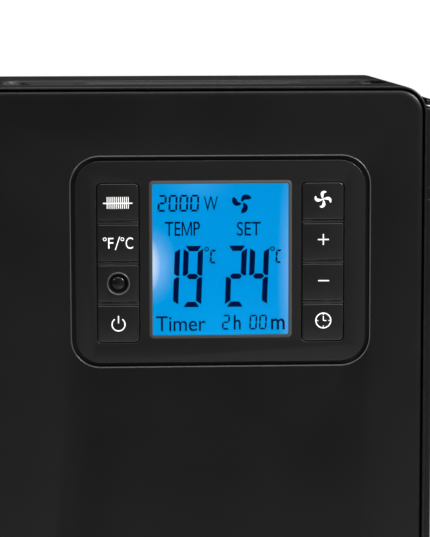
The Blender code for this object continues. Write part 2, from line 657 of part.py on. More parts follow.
def panel_bezel():
    """Panel plate with a hidden flange behind the cover, a lip round the window and two key wells."""
    middle = (PANEL_X, PANEL_Z)
    width, height, corner = PANEL_WIDTH - GROOVE, PANEL_HEIGHT - GROOVE, PANEL_CORNER - GROOVE / 2
    face = []
    for inset, back in ((0.3, 0.0), (0.0, 0.3), (0.0, BEZEL_THICK)):
        outline = rounded(width - 2 * inset, height - 2 * inset, corner - inset, CORNER_STEPS, middle)
        face.append(ring(outline, "Y", FRONT + back))
    made = add_object("panel_bezel", loft(face), "black_plastic")
    flange = rounded(PANEL_WIDTH + 10.0, PANEL_HEIGHT + 10.0, PANEL_CORNER + 3.0, 3, middle)
    join(made, prism(flange, "Y", FLANGE_FRONT, FLANGE_BACK))
    window = (PANEL_X, PANEL_Z + WINDOW_RISE)
    lip = rounded(WINDOW_WIDTH + 2 * WINDOW_LIP, WINDOW_HEIGHT + 2 * WINDOW_LIP, 1.6, 3, window)
    behind = [prism(lip, "Y", FRONT - LIP_PROUD, FRONT + 1.0)]
    for column in (-1, 1):
        x, z = PANEL_X + column * KEY_COLUMN, PANEL_Z - KEY_DROP
        half = 1.5 * KEY_PITCH + KEY_HEIGHT / 2 + 2.0
        wide = (x - KEY_WIDTH / 2 - 1.7, x + KEY_WIDTH / 2 + 1.7)
        behind.append(block(wide, (FLANGE_BACK - 0.8, KEY_FLOOR_BACK), (z - half, z + half)))
    for point in panel_points(BOARD_PINS):
        behind.append(rod(2.6, "Y", point, FLANGE_BACK - 0.7, BOARD_FRONT - GAP, 8))
    join(made, *behind)
    pins = [rod(PIN_RADIUS, "Y", p, FLANGE_BACK, BOARD_BACK + 1.5, 8) for p in panel_points(BOARD_PINS)]
    join(made, *pins)
    holes = [prism(rounded(WINDOW_WIDTH, WINDOW_HEIGHT, 0.8, 3, window), "Y", FRONT - 3.0, FRONT + 8.0)]
    for point in panel_points(FLANGE_PINS):
        holes.append(rod(PIN_RADIUS + SLIDE, "Y", point, FLANGE_FRONT - 2.0, FLANGE_BACK + 2.0, 8))
    for column in (-1, 1):
        size = (KEY_WIDTH + 2 * WELL_CLEAR, 3 * KEY_PITCH + KEY_HEIGHT + 2 * WELL_CLEAR, 2.4)
        well = rounded(*size, 3, (PANEL_X + column * KEY_COLUMN, PANEL_Z - KEY_DROP))
        holes.append(prism(well, "Y", FRONT - 2.0, KEY_FLOOR))
    cut(made, *holes)
    pocket = rectangle(WINDOW_WIDTH + LENS_LEDGE + 2 * GAP, WINDOW_HEIGHT + LENS_LEDGE + 2 * GAP, window)
    recesses = [prism(pocket, "Y", FRONT + BEZEL_THICK, FRONT + 8.0)]
    for column, row in [(c, r) for c in (-1, 1) for r in range(4)]:
        x, z = key_centre(column, row)
        wide = (x - STEM_WIDTH / 2 - SLIDE, x + STEM_WIDTH / 2 + SLIDE)
        tall = (z - STEM_HEIGHT / 2 - SLIDE, z + STEM_HEIGHT / 2 + SLIDE)
        recesses.append(block(wide, (KEY_FLOOR - 1.0, KEY_FLOOR_BACK + 1.0), tall))
    cut(made, *recesses)


def key_cap(x, z, thickness):
    """Cap of a key with small bevels, in its place in the column."""
    rings = []
    for inset, back in ((0.3, 0.0), (0.0, 0.3), (0.0, thickness)):
        outline = rounded(KEY_WIDTH - 2 * inset, KEY_HEIGHT - 2 * inset, 1.0 - inset, 2, (x, z))
        rings.append(ring(outline, "Y", FRONT - KEY_PROUD + back))
    return loft(rings)


def keys():
    """Seven sprung keys, each with a stem through the bezel floor and a collar that keeps it in."""
    thickness = KEY_FLOOR - FRONT + KEY_PROUD - KEY_TRAVEL - GAP
    for (column, row), name in KEY_NAMES.items():
        x, z = key_centre(column, row)
        made = add_object(name, key_cap(x, z, thickness), "black_plastic", (x, FRONT, z))
        wide = (x - STEM_WIDTH / 2, x + STEM_WIDTH / 2)
        tall = (z - STEM_HEIGHT / 2, z + STEM_HEIGHT / 2)
        stem_end = BOARD_FRONT - SWITCH_HEIGHT - KEY_TRAVEL - GAP
        join(made, block(wide, (FRONT + 1.0, stem_end), tall))
        collar = (KEY_FLOOR_BACK + GAP, KEY_FLOOR_BACK + 1.5)
        join(made, block((wide[0] - 1.2, wide[1] + 1.2), collar, (tall[0] - 1.1, tall[1] + 1.1)))


def infrared_tile():
    """Fixed tile with a round window, and the domed lens that covers the remote control's receiver."""
    x, z = key_centre(-1, 2)
    cap = key_cap(x, z, KEY_FLOOR - FRONT + KEY_PROUD - GAP)
    made = add_object("ir_tile", cap, "black_plastic")
    cut(made, rod(IR_RADIUS + SLIDE, "Y", (x, z), FRONT - 2.0, FRONT + 6.0, 16))
    profile = (
        (IR_RADIUS * 0.4, FRONT - 0.7),
        (IR_RADIUS * 0.8, FRONT - 0.3),
        (IR_RADIUS, FRONT + 0.6),
        (IR_RADIUS, KEY_FLOOR - GAP),
    )
    add_object("ir_lens", turned(profile, "Y", (x, z), 16), "black_plastic")


def display():
    """Clear lens, liquid crystal cell and backlight, stacked behind the window."""
    window = (PANEL_X, PANEL_Z + WINDOW_RISE)
    front = rounded(WINDOW_WIDTH - 2 * GAP, WINDOW_HEIGHT - 2 * GAP, 0.6, 3, window)
    ledge = rounded(WINDOW_WIDTH + LENS_LEDGE, WINDOW_HEIGHT + LENS_LEDGE, 0.6, 3, window)
    step = FRONT + BEZEL_THICK + GAP
    places = ((front, FRONT + 0.2), (front, step), (ledge, step), (ledge, step + 1.0))
    add_object("display_lens", loft([ring(outline, "Y", y) for outline, y in places]), "blue_display")
    wide = (PANEL_X - CELL_WIDTH / 2, PANEL_X + CELL_WIDTH / 2)
    tall = (window[1] - CELL_HEIGHT / 2, window[1] + CELL_HEIGHT / 2)
    cell_back = step + 1.0 + GAP + CELL_THICK
    add_object("lcd_cell", block(wide, (step + 1.0 + GAP, cell_back), tall), "blue_display")
    add_object("backlight", block(wide, (cell_back + GAP, BOARD_FRONT - GAP), tall), "white_plastic")


def control_board():
    """Board behind the panel with seven key switches, the infrared receiver, a chip and a plug socket."""
    half = BOARD_PIN_X + 4.5
    plate = block((PANEL_X - half, PANEL_X + half), (BOARD_FRONT, BOARD_BACK), (PANEL_Z - 42.0, PANEL_Z + 42.0))
    made = add_object("control_board", plate, "green_board")
    behind = (BOARD_BACK - 0.5, BOARD_BACK + 2.4)
    items = [block((PANEL_X - 10.0, PANEL_X + 10.0), behind, (PANEL_Z - 8.0, PANEL_Z + 8.0))]
    behind = (BOARD_BACK - 0.5, BOARD_BACK + 7.0)
    items.append(block((PANEL_X + 26.0, PANEL_X + 50.0), behind, (PANEL_Z - 36.0, PANEL_Z - 28.0)))
    for column, row in [*KEY_NAMES, (-1, 2)]:
        x, z = key_centre(column, row)
        front = (BOARD_FRONT - SWITCH_HEIGHT, BOARD_FRONT + 0.5)
        items.append(block((x - 3.0, x + 3.0), front, (z - 3.0, z + 3.0)))
    join(made, *items)
    holes = [
        rod(PIN_RADIUS + SLIDE, "Y", point, BOARD_FRONT - 2.0, BOARD_BACK + 2.0, 8)
        for point in panel_points(BOARD_PINS)
    ]
    cut(made, *holes)


# ---------------------------------------------------------------- inside the tower
def power_board():
    """Board with three relays, a capacitor and a terminal block, on pins of the rear cover."""
    plate = block(
        (POWER_X - 55.0, POWER_X + 55.0), (POWER_Y, POWER_Y + BOARD_THICK), (POWER_Z - 45.0, POWER_Z + 45.0)
    )
    made = add_object("power_board", plate, "green_board")
    root = POWER_Y + 0.5
    items = []
    for x in (-28.0, 0.0, 28.0):
        wide = (POWER_X + x - 10.0, POWER_X + x + 10.0)
        items.append(block(wide, (POWER_Y - 16.0, root), (POWER_Z + 8.0, POWER_Z + 24.0)))
    items.append(rod(8.0, "Y", (POWER_X - 25.0, POWER_Z - 18.0), POWER_Y - 22.0, root, 14))
    wide = (POWER_X + 5.0, POWER_X + 40.0)
    items.append(block(wide, (POWER_Y - 12.0, root), (POWER_Z - 26.0, POWER_Z - 14.0)))
    join(made, *items)
    holes = [
        rod(PIN_RADIUS + SLIDE, "Y", (POWER_X + x, POWER_Z + z), POWER_Y - 3.0, POWER_Y + 4.0, 8)
        for x, z in POWER_PINS
    ]
    cut(made, *holes)


def heat_shield():
    """Bent sheet between the last fin and the electronics, with the thermal cut-out on it."""
    low, high = TOWER_BOTTOM + 40.0, TOWER_TOP - 60.0
    near = TOWER_LEFT + SHELL_WALL + GAP
    face = near + 9.0
    deep = (FRONT_GUSSET + 3.0, REAR_GUSSET)
    made = add_object("heat_shield", block((face, face + 1.0), deep, (low, high)), "aluminium")
    feet = [block((near, face + 0.5), deep, pair) for pair in ((low, low + 1.0), (high - 1.0, high))]
    join(made, *feet)
    cut(made, block((near - 2.0, face + 4.0), (-22.0, 22.0), (low - 3.0, LOW_HEADER + 24.0)))
    disc = ((9.0, face + 1.0 + GAP), (9.0, face + 6.0), (6.0, face + 6.5), (6.0, face + 10.0))
    made = add_object("thermal_cutout", turned(disc, "X", (0.0, CUTOUT_Z), 20), "white_plastic")
    blades = [
        block((face + 9.0, face + 17.0), (y - 0.5, y + 0.5), (CUTOUT_Z - 3.0, CUTOUT_Z + 3.0))
        for y in (-3.5, 3.5)
    ]
    join(made, *blades)


def fan_blade(index):
    """One twisted blade, from inside the hub to the tip."""
    sections = []
    for radius, chord, pitch in ((12.0, 12.0, 46.0), (32.0, 19.0, 38.0), (FAN_RADIUS, 25.0, 30.0)):
        along, across = math.cos(math.radians(pitch)), math.sin(math.radians(pitch))
        section = []
        for end, side in ((-1, -1), (1, -1), (1, 1), (-1, 1)):
            tangent = end * chord / 2 * along - side * 0.9 * across
            depth = end * chord / 2 * across + side * 0.9 * along
            section.append((TOWER_X + radius, FAN_Y + depth, FAN_Z + tangent))
        sections.append(section)
    return turned_about_y(loft(sections), index * 360.0 / BLADE_COUNT, TOWER_X, FAN_Z)


def fan_unit():
    """Fan housing on a pedestal, motor, bladed wheel and ceramic heater block."""
    centre = (TOWER_X, FAN_Z)
    side = 2 * FAN_RADIUS + 22.0
    bore = FAN_RADIUS + 4.0
    duct = prism(rounded(side, side, 10.0, 3, centre), "Y", -30.0, 14.0)
    made = add_object("fan_housing", duct, "black_plastic")
    floor = TOWER_BOTTOM + SHELL_WALL + GAP
    join(made, block((TOWER_X - 40.0, TOWER_X + 40.0), (-20.0, 4.0), (floor, FAN_Z - bore - 3.0)))
    cut(made, rod(bore, "Y", centre, -40.0, 24.0, 28))
    arm = block((TOWER_X + 24.0, TOWER_X + bore + 2.0), (6.0, 11.0), (FAN_Z - 3.0, FAN_Z + 3.0))
    join(made, *[turned_about_y(arm, turn, TOWER_X, FAN_Z) for turn in (90.0, 210.0, 330.0)])
    inner = MOTOR_RADIUS + SLIDE
    join(made, turned_ring(((25.0, 5.0), (25.0, 12.0), (inner, 12.0), (inner, 5.0)), "Y", centre))
    shaft = MOTOR_SHAFT
    profile = (
        (shaft, FAN_Y - 6.0),
        (shaft, 1.0),
        (6.0, 1.0),
        (6.0, 3.0),
        (MOTOR_RADIUS, 3.0),
        (MOTOR_RADIUS, 34.0),
        (8.0, 34.0),
        (8.0, 37.0),
    )
    add_object("fan_motor", turned(profile, "Y", centre, 16), "steel")
    hub = turned(((10.0, FAN_Y - 11.0), (15.0, FAN_Y - 8.0), (15.0, FAN_Y + 10.0)), "Y", centre, 20)
    made = add_object("fan_wheel", hub, "grey_rubber", (TOWER_X, FAN_Y, FAN_Z))
    join(made, *[fan_blade(index) for index in range(BLADE_COUNT)])
    cut(made, rod(shaft + SLIDE, "Y", centre, FAN_Y - 6.6, FAN_Y + 12.0, 12))
    wide = (TOWER_X - 57.0, TOWER_X + 57.0)
    stack = block(wide, (-47.5, -30.0 - GAP), (FAN_Z - 42.0, FAN_Z + 42.0))
    made = add_object("ptc_heater", stack, "ceramic")
    slots = []
    for index in range(8):
        x = TOWER_X + (index - 3.5) * 13.0
        slots.append(block((x - 4.5, x + 4.5), (-50.0, -28.0), (FAN_Z - 34.0, FAN_Z + 34.0)))
    cut(made, *slots)


def outlet_grille():
    """Louvred grille in the front cover, with a flange behind it."""
    centre = (TOWER_X, FAN_Z)
    width, height = OUTLET_WIDTH - 2 * SLIDE, OUTLET_HEIGHT - 2 * SLIDE
    frame = prism(rounded(width, height, 5.6, 2, centre), "Y", FRONT, FRONT + 9.0)
    made = add_object("outlet_grille", frame, "black_plastic")
    flange = rounded(width + 8.0, height + 8.0, 6.0, 2, centre)
    join(made, prism(flange, "Y", FLANGE_FRONT, FLANGE_FRONT + 1.6))
    cut(made, prism(rounded(width - 10.0, height - 10.0, 2.0, 1, centre), "Y", FRONT - 3.0, FRONT + 12.0))
    bars = []
    for index in range(LOUVRES):
        z = FAN_Z + (index - (LOUVRES - 1) / 2) * 10.0
        low, high = FRONT + 0.6, FRONT + 8.0
        profile = ((low, z - 2.6), (high, z + 0.8), (high, z + 2.6), (low, z - 0.8))
        bars.append(prism(profile, "X", TOWER_X - width / 2 + 3.0, TOWER_X + width / 2 - 3.0))
    join(made, *bars)


def tilt_switch():
    """Bracket on the tower floor with a pendulum that swings when the heater leans over."""
    floor = TOWER_BOTTOM + SHELL_WALL + GAP
    base = block((TILT_X - 11.0, TILT_X + 11.0), (TILT_Y - 13.0, TILT_Y + 13.0), (floor, floor + 2.5))
    made = add_object("tilt_switch_bracket", base, "steel")
    cheeks = []
    for low in (TILT_Y - 13.0, TILT_Y + 11.0):
        cheeks.append(block((TILT_X - 5.0, TILT_X + 5.0), (low, low + 2.0), (floor + 1.5, TILT_Z + 6.0)))
    join(made, *cheeks)
    join(made, rod(1.5, "Y", (TILT_X, TILT_Z), TILT_Y - 12.0, TILT_Y + 12.0, 12))
    bob = rod(8.0, "Y", (TILT_X, TILT_Z - 18.0), TILT_Y - 7.0, TILT_Y + 7.0, 20)
    made = add_object("tilt_pendulum", bob, "brass", (TILT_X, TILT_Y, TILT_Z))
    arm = block((TILT_X - 3.4, TILT_X + 3.4), (TILT_Y - 3.0, TILT_Y + 3.0), (TILT_Z - 14.0, TILT_Z + 4.0))
    join(made, arm)
    cut(made, rod(1.5 + GAP, "Y", (TILT_X, TILT_Z), TILT_Y - 9.0, TILT_Y + 9.0, 12))


def cable_gland():
    """Bush through the rear cover for the supply cord."""
    profile = (
        (GLAND_RADIUS, REAR - 9.0),
        (GLAND_RADIUS, REAR + GAP),
        (12.0, REAR + GAP),
        (12.0, REAR + 4.0),
        (9.0, REAR + 5.0),
        (7.5, REAR + 16.0),
        (3.6, REAR + 16.0),
        (3.6, REAR - 9.0),
    )
    add_object("cable_gland", turned_ring(profile, "Y", (GLAND_X, GLAND_Z), 14), "black_plastic")


# ---------------------------------------------------------------- stand and castors
def foot_rail(name, x, holes):
    """Channel across the heater, open below, with a welded bush for a castor stem near each end."""
    outer = rounded(RAIL_WIDTH, RAIL_LENGTH, 10.0, 3, (x, 0.0))
    inner = rounded(RAIL_WIDTH - 2 * RAIL_WALL, RAIL_LENGTH - 2 * RAIL_WALL, 10.0 - RAIL_WALL, 3, (x, 0.0))
    bottom = RAIL_TOP - RAIL_HEIGHT
    made = add_object(name, prism(outer, "Z", bottom, RAIL_TOP), "satin_black")
    cut(made, prism(inner, "Z", bottom - 5.0, RAIL_TOP - RAIL_WALL))
    ends = [(x, -CASTOR_Y), (x, CASTOR_Y)]
    join(made, *[rod(8.0, "Z", end, CROWN_TOP + GAP, RAIL_TOP - RAIL_WALL / 2, 12) for end in ends])
    bores = [rod(STEM_RADIUS + SLIDE, "Z", end, CROWN_TOP - 4.0, STEM_TOP + GAP, 12) for end in ends]
    cut(made, *bores, *holes)
    return made


def stand():
    """Two channel rails. The left one cradles the lower header and a U-bolt holds the header down."""
    bend = HEADER_RADIUS + SLIDE + BOLT_RADIUS
    sides = [side * bend for side in (-1, 1)]
    leg_holes = [
        rod(BOLT_RADIUS + SLIDE, "Z", (LEFT_RAIL_X, y), RAIL_TOP - 6.0, RAIL_TOP + 4.0, 12) for y in sides
    ]
    left = foot_rail("foot_rail_left", LEFT_RAIL_X, leg_holes)
    cradle = (LEFT_RAIL_X - 6.0, LEFT_RAIL_X + 6.0)
    join(left, block(cradle, (-20.0, 20.0), (RAIL_TOP - 1.0, LOW_HEADER - 12.0)))
    cut(left, rod(HEADER_RADIUS + GAP, "X", (0.0, LOW_HEADER), cradle[0] - 6.0, cradle[1] + 6.0))
    rivet_holes = [
        rod(RIVET_RADIUS + SLIDE, "Z", point, RAIL_TOP - 6.0, RAIL_TOP + 4.0, 8) for point in RAIL_RIVETS
    ]
    foot_rail("foot_rail_right", RIGHT_RAIL_X, rivet_holes)
    leg_end = RAIL_TOP - RAIL_HEIGHT - 3.0
    path = [(-bend, leg_end, 90.0)]
    for step in range(9):
        turn = 180.0 - 22.5 * step
        angle = math.radians(turn)
        path.append((bend * math.cos(angle), LOW_HEADER + bend * math.sin(angle), turn - 90.0))
    path.append((bend, leg_end, -90.0))
    rings = []
    for y, z, heading in path:
        up_y, up_z = -math.sin(math.radians(heading)), math.cos(math.radians(heading))
        wire = circle(BOLT_RADIUS, segments=8)
        rings.append([(LEFT_RAIL_X + a, y + b * up_y, z + b * up_z) for a, b in wire])
    add_object("u_bolt", loft(rings), "steel")
    high = RAIL_TOP - RAIL_WALL - GAP
    low = high - 8.0
    bore = BOLT_RADIUS + SLIDE
    for name, y in zip(("front", "rear"), sides):
        profile = ((6.5, low + 3.0), (6.5, high), (bore, high), (bore, low), (4.8, low))
        made = add_object(f"wing_nut_{name}", turned_ring(profile, "Z", (LEFT_RAIL_X, y), 10), "steel")
        wings = []
        for end in (-1, 1):
            reach = sorted((LEFT_RAIL_X + end * 5.5, LEFT_RAIL_X + end * 13.0))
            wings.append(block(reach, (y - 1.3, y + 1.3), (low - 5.0, low + 6.0)))
        join(made, *wings)


def castor_fork(name, x, y):
    """Pressed fork with its stem on top and the wheel's axle riveted through it."""
    plate = block((x - 15.0, x + 10.0), (y - FORK_HALF, y + FORK_HALF), (CROWN_TOP - 3.3, CROWN_TOP))
    fork = add_object(name, plate, "dark_metal", (x, y, CROWN_TOP))
    side_view = (
        (10.0, CROWN_TOP),
        (-15.0, CROWN_TOP),
        (-CASTOR_TRAIL - 7.0, WHEEL_RADIUS + 2.0),
        (-CASTOR_TRAIL - 4.0, WHEEL_RADIUS - 5.0),
        (-CASTOR_TRAIL + 3.0, WHEEL_RADIUS - 6.0),
        (-CASTOR_TRAIL + 7.5, WHEEL_RADIUS - 1.0),
        (10.0, CROWN_TOP - 4.0),
    )
    outline = [(x + along, z) for along, z in side_view]
    inner = FORK_HALF - 0.1 - FORK_WALL
    join(fork, *[prism(outline, "Y", y + low, y + low + FORK_WALL) for low in (-inner - FORK_WALL, inner)])
    join(fork, rod(STEM_RADIUS, "Z", (x, y), CROWN_TOP - 1.5, STEM_TOP, 10))
    head, end = AXLE_RADIUS + 1.5, FORK_HALF + 2.0
    profile = (
        (head, y - end),
        (head, y - FORK_HALF + 0.5),
        (AXLE_RADIUS, y - FORK_HALF + 0.5),
        (AXLE_RADIUS, y + FORK_HALF - 0.5),
        (head, y + FORK_HALF - 0.5),
        (head, y + end),
    )
    join(fork, turned(profile, "Y", (x - CASTOR_TRAIL, WHEEL_RADIUS), 10))


def castor_wheel(name, x, y):
    """Wheel with a rounded tread, a dished side and a bore for the axle."""
    half = WHEEL_WIDTH / 2
    side = (
        (AXLE_RADIUS + SLIDE, -half),
        (7.0, -half),
        (WHEEL_RADIUS - 6.0, 2.0 - half),
        (WHEEL_RADIUS - 5.0, -half),
        (WHEEL_RADIUS, 2.5 - half),
    )
    profile = [(radius, y + along) for radius, along in side]
    profile += [(radius, y - along) for radius, along in reversed(side)]
    axle_x = x - CASTOR_TRAIL
    wheel = turned_ring(profile, "Y", (axle_x, WHEEL_RADIUS), 20)
    add_object(name, wheel, "grey_rubber", (axle_x, y, WHEEL_RADIUS))


clear_scene()
for number in range(FIN_COUNT):
    fin(number)
header_plugs()
heating_element()
tower_shell()
front_cover()
rear_cover()
cover_screws()
side_panel()
handle_tray()
handle()
panel_bezel()
keys()
infrared_tile()
display()
control_board()
power_board()
heat_shield()
fan_unit()
outlet_grille()
tilt_switch()
cable_gland()
stand()
for corner_name, rail_x, castor_y in CASTORS:
    castor_fork(f"castor_fork_{corner_name}", rail_x, castor_y)
    castor_wheel(f"castor_wheel_{corner_name}", rail_x, castor_y)
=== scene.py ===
"""Looks for an oil filled radiator heater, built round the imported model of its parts.

Sizes are in millimetres until a mesh is made. X runs along the fins to the tower and -Y faces the user.
"""

import math

import bmesh
import bpy
from mathutils import Euler, Matrix, Vector


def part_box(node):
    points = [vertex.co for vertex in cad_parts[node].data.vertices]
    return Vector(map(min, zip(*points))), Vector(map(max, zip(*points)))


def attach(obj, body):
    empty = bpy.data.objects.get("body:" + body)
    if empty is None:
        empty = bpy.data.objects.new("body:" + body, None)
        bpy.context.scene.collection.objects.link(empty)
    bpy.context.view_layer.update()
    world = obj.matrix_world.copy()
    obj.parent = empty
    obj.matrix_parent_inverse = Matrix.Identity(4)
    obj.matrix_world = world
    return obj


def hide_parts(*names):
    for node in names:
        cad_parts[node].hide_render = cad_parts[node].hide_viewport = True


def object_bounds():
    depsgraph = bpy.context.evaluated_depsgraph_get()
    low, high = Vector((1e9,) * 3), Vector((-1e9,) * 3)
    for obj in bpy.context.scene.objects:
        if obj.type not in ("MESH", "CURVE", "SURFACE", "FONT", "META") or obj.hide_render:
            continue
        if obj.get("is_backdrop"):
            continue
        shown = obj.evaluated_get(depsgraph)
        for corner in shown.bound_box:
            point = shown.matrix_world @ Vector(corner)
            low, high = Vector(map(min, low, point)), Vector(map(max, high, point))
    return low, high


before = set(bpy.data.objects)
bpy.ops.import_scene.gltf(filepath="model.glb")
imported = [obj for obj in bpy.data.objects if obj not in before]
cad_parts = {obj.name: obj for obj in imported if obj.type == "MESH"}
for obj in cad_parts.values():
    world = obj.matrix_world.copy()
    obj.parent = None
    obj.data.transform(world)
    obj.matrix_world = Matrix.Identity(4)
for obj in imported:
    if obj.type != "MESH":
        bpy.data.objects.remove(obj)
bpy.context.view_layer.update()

# ---------------------------------------------------------------- studio
# A sweep of pale paper lies under the heater, in a white room. One wide soft box hangs above in front,
# two narrow lamps stand to the sides for the small edges, and one soft box lights the back.
PAPER_RADIUS = 3.2
PAPER_SEGMENTS = 64


def shaped(nodes, kind, inputs=None, **settings):
    """A new node with its settings, and its inputs set to values or linked from other nodes' outputs."""
    made = nodes.new(kind)
    for key, value in settings.items():
        setattr(made, key, value)
    for socket, value in (inputs or {}).items():
        if isinstance(value, bpy.types.NodeSocket):
            made.id_data.links.new(value, made.inputs[socket])
        else:
            made.inputs[socket].default_value = value
    return made


paper = bmesh.new()
bmesh.ops.create_circle(paper, cap_ends=True, segments=PAPER_SEGMENTS, radius=PAPER_RADIUS)
paper_mesh = bpy.data.meshes.new("floor_paper")
paper.to_mesh(paper_mesh)
paper.free()
floor = bpy.data.objects.new("floor_paper", paper_mesh)
bpy.context.scene.collection.objects.link(floor)
floor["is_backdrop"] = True

paper_finish = bpy.data.materials.new("matt_paper")
paper_finish.use_nodes = True
nodes, links = paper_finish.node_tree.nodes, paper_finish.node_tree.links
place = nodes.new("ShaderNodeTexCoord")
fibre = shaped(nodes, "ShaderNodeTexNoise", {"Scale": 900.0, "Vector": place.outputs["Object"]})
tone = shaped(
    nodes, "ShaderNodeMix",
    {"A": (0.74, 0.735, 0.725, 1.0), "B": (0.79, 0.785, 0.775, 1.0), "Factor": fibre.outputs["Fac"]},
    data_type="RGBA",
)
links.new(tone.outputs["Result"], nodes["Principled BSDF"].inputs["Base Color"])
nodes["Principled BSDF"].inputs["Roughness"].default_value = 0.85
paper_mesh.materials.append(paper_finish)

room = bpy.data.worlds.new("white_room")
bpy.context.scene.world = room
room.use_nodes = True
nodes, links = room.node_tree.nodes, room.node_tree.links
nodes.clear()
way = nodes.new("ShaderNodeTexCoord")
split = shaped(nodes, "ShaderNodeSeparateXYZ", {"Vector": way.outputs["Generated"]})
light = []
for socket, low, high, bright in (
    ("Z", 0.42, 0.98, 0.34), ("X", -0.12, 0.3, 0.26), ("Y", 0.25, -0.25, 1.0)
):
    part = shaped(
        nodes, "ShaderNodeMapRange",
        {"From Min": low, "From Max": high, "To Max": bright, "Value": split.outputs[socket]},
        interpolation_type="SMOOTHSTEP",
    )
    light.append(part)
total = shaped(nodes, "ShaderNodeMath", operation="MULTIPLY_ADD")
for index, part in enumerate((light[1], light[2], light[0])):
    links.new(part.outputs["Result"], total.inputs[index])
lifted = shaped(nodes, "ShaderNodeMath", {1: 0.012, 0: total.outputs["Value"]})
seen = nodes.new("ShaderNodeLightPath")
pick = shaped(
    nodes, "ShaderNodeMix",
    {"B": 1.0, "Factor": seen.outputs["Is Camera Ray"], "A": lifted.outputs["Value"]},
)
glow = shaped(
    nodes, "ShaderNodeBackground", {"Color": (1.0, 1.0, 1.0, 1.0), "Strength": pick.outputs["Result"]}
)
shaped(nodes, "ShaderNodeOutputWorld", {"Surface": glow.outputs["Background"]})

LAMPS = (
    ("soft_box", (0.25, -1.0, 2.3), (0.15, 0.0, 0.5), 1.7, 0.9, 26.0),
    ("lamp_left", (-1.1, -1.3, 1.55), (0.15, 0.0, 0.5), 0.12, 0.5, 8.0),
    ("lamp_right", (1.1, -0.75, 1.35), (0.25, 0.0, 0.6), 0.3, 0.5, 27.0),
    ("lamp_low", (0.45, -0.7, 0.06), (0.2, 0.0, 0.55), 0.5, 0.06, 0.35),
    ("back_box", (-0.2, 1.9, 2.6), (0.0, 0.0, 0.35), 1.4, 0.9, 9.0),
)
for name, spot, aim, width, height, watts in LAMPS:
    lamp = bpy.data.lights.new(name, "AREA")
    lamp.shape = "RECTANGLE"
    lamp.size = width
    lamp.size_y = height
    lamp.energy = watts
    stand = bpy.data.objects.new(name, lamp)
    stand.location = spot
    stand.rotation_mode = "QUATERNION"
    stand.rotation_quaternion = (Vector(aim) - Vector(spot)).to_track_quat("-Z", "Y")
    bpy.context.scene.collection.objects.link(stand)

bpy.context.scene.view_settings.view_transform = "Standard"
LENS_LENGTH = 154.2
CAMERA_SPOT = (0.1315, -1.077, 0.6694)
CAMERA_TURN = (83.24, 0.1192, -3.0241)  # degrees about X, Y and Z
camera = bpy.data.objects.new("camera", bpy.data.cameras.new("camera"))
camera.data.lens = LENS_LENGTH
camera.data.clip_start = 0.05
camera.data.clip_end = 60.0
turn = Euler([math.radians(angle) for angle in CAMERA_TURN]).to_matrix()
camera.matrix_world = Matrix.Translation(CAMERA_SPOT) @ turn.to_4x4()
bpy.context.scene.collection.objects.link(camera)
bpy.context.scene.camera = camera

# ---------------------------------------------------------------- oil fins
# Each fin is two stamped sheets, seam welded round the hem, with oil channels between the creases and a
# boss for each header. Seven of them are welded boss to boss and painted as one, in black powder.
MM = 0.001
FINS = [f"fin_{number}" for number in range(1, 8)]
HEM_HALF = 0.9
BULGE_HALF = 6.9
CREASES = ((0.0, 6.5, 0.64), (-33.0, 3.6, 0.36), (33.0, 3.6, 0.36))  # place, half width, depth


def mesh_from(name, points, faces):
    """A mesh with its faces turned outwards, from points in millimetres."""
    built = bmesh.new()
    corners = [built.verts.new([value * MM for value in point]) for point in points]
    for face in faces:
        built.faces.new([corners[index] for index in face])
    bmesh.ops.remove_doubles(built, verts=built.verts, dist=1e-6)
    bmesh.ops.recalc_face_normals(built, faces=built.faces)
    mesh = bpy.data.meshes.new(name)
    built.to_mesh(mesh)
    built.free()
    return mesh


def smooth(mesh, degrees=32.0):
    mesh.shade_smooth()
    mesh.set_sharp_from_angle(angle=math.radians(degrees))
    return mesh


def piece(name, mesh, finish=None, degrees=32.0):
    """An object at the origin, with its place in its mesh."""
    smooth(mesh, degrees)
    if finish is not None:
        mesh.materials.clear()
        mesh.materials.append(finish)
    made = bpy.data.objects.new(name, mesh)
    bpy.context.scene.collection.objects.link(made)
    return made


def evaluated(made):
    """Turns an object's modifiers into plain mesh."""
    bpy.context.view_layer.update()
    graph = bpy.context.evaluated_depsgraph_get()
    mesh = bpy.data.meshes.new_from_object(made.evaluated_get(graph))
    made.modifiers.clear()
    made.data = mesh
    return made


def rings_solid(rings, closed=False, caps=True):
    """Points and faces of a skin through rings of equal count."""
    count = len(rings[0])
    points = [point for one in rings for point in one]
    faces = []
    for index in range(len(rings) if closed else len(rings) - 1):
        here, there = index * count, (index + 1) % len(rings) * count
        for step in range(count):
            after = (step + 1) % count
            faces.append((here + step, here + after, there + after, there + step))
    if not closed and caps:
        faces.append(tuple(range(count - 1, -1, -1)))
        faces.append(tuple(range(len(points) - count, len(points))))
    return points, faces


def joined(*solids):
    points, faces = [], []
    for more_points, more_faces in solids:
        start = len(points)
        points.extend(more_points)
        faces.extend(tuple(start + index for index in face) for face in more_faces)
    return points, faces


def lathe(profile, axis, centre, segments=48, closed=False):
    """A turned solid from (radius, along) pairs, about an axis through centre."""
    rings = []
    for radius, along in profile:
        ring = []
        for step in range(segments):
            angle = 2 * math.pi * step / segments
            u, v = centre[0] + radius * math.cos(angle), centre[1] + radius * math.sin(angle)
            ring.append({"X": (along, u, v), "Y": (u, along, v), "Z": (u, v, along)}[axis])
        rings.append(ring)
    return rings_solid(rings, closed)


def bell(value, width):
    return math.exp(-((value / width) ** 2))


def ease(value, low, high):
    share = min(1.0, max(0.0, (value - low) / (high - low)))
    return share * share * (3 - 2 * share)


def inside(u, v, half_u, half_v, radius):
    """Distance inwards from the edge of a rounded rectangle."""
    across, along = abs(u) - half_u + radius, abs(v) - half_v + radius
    if across > 0 and along > 0:
        return radius - math.hypot(across, along)
    return radius - max(across, along)


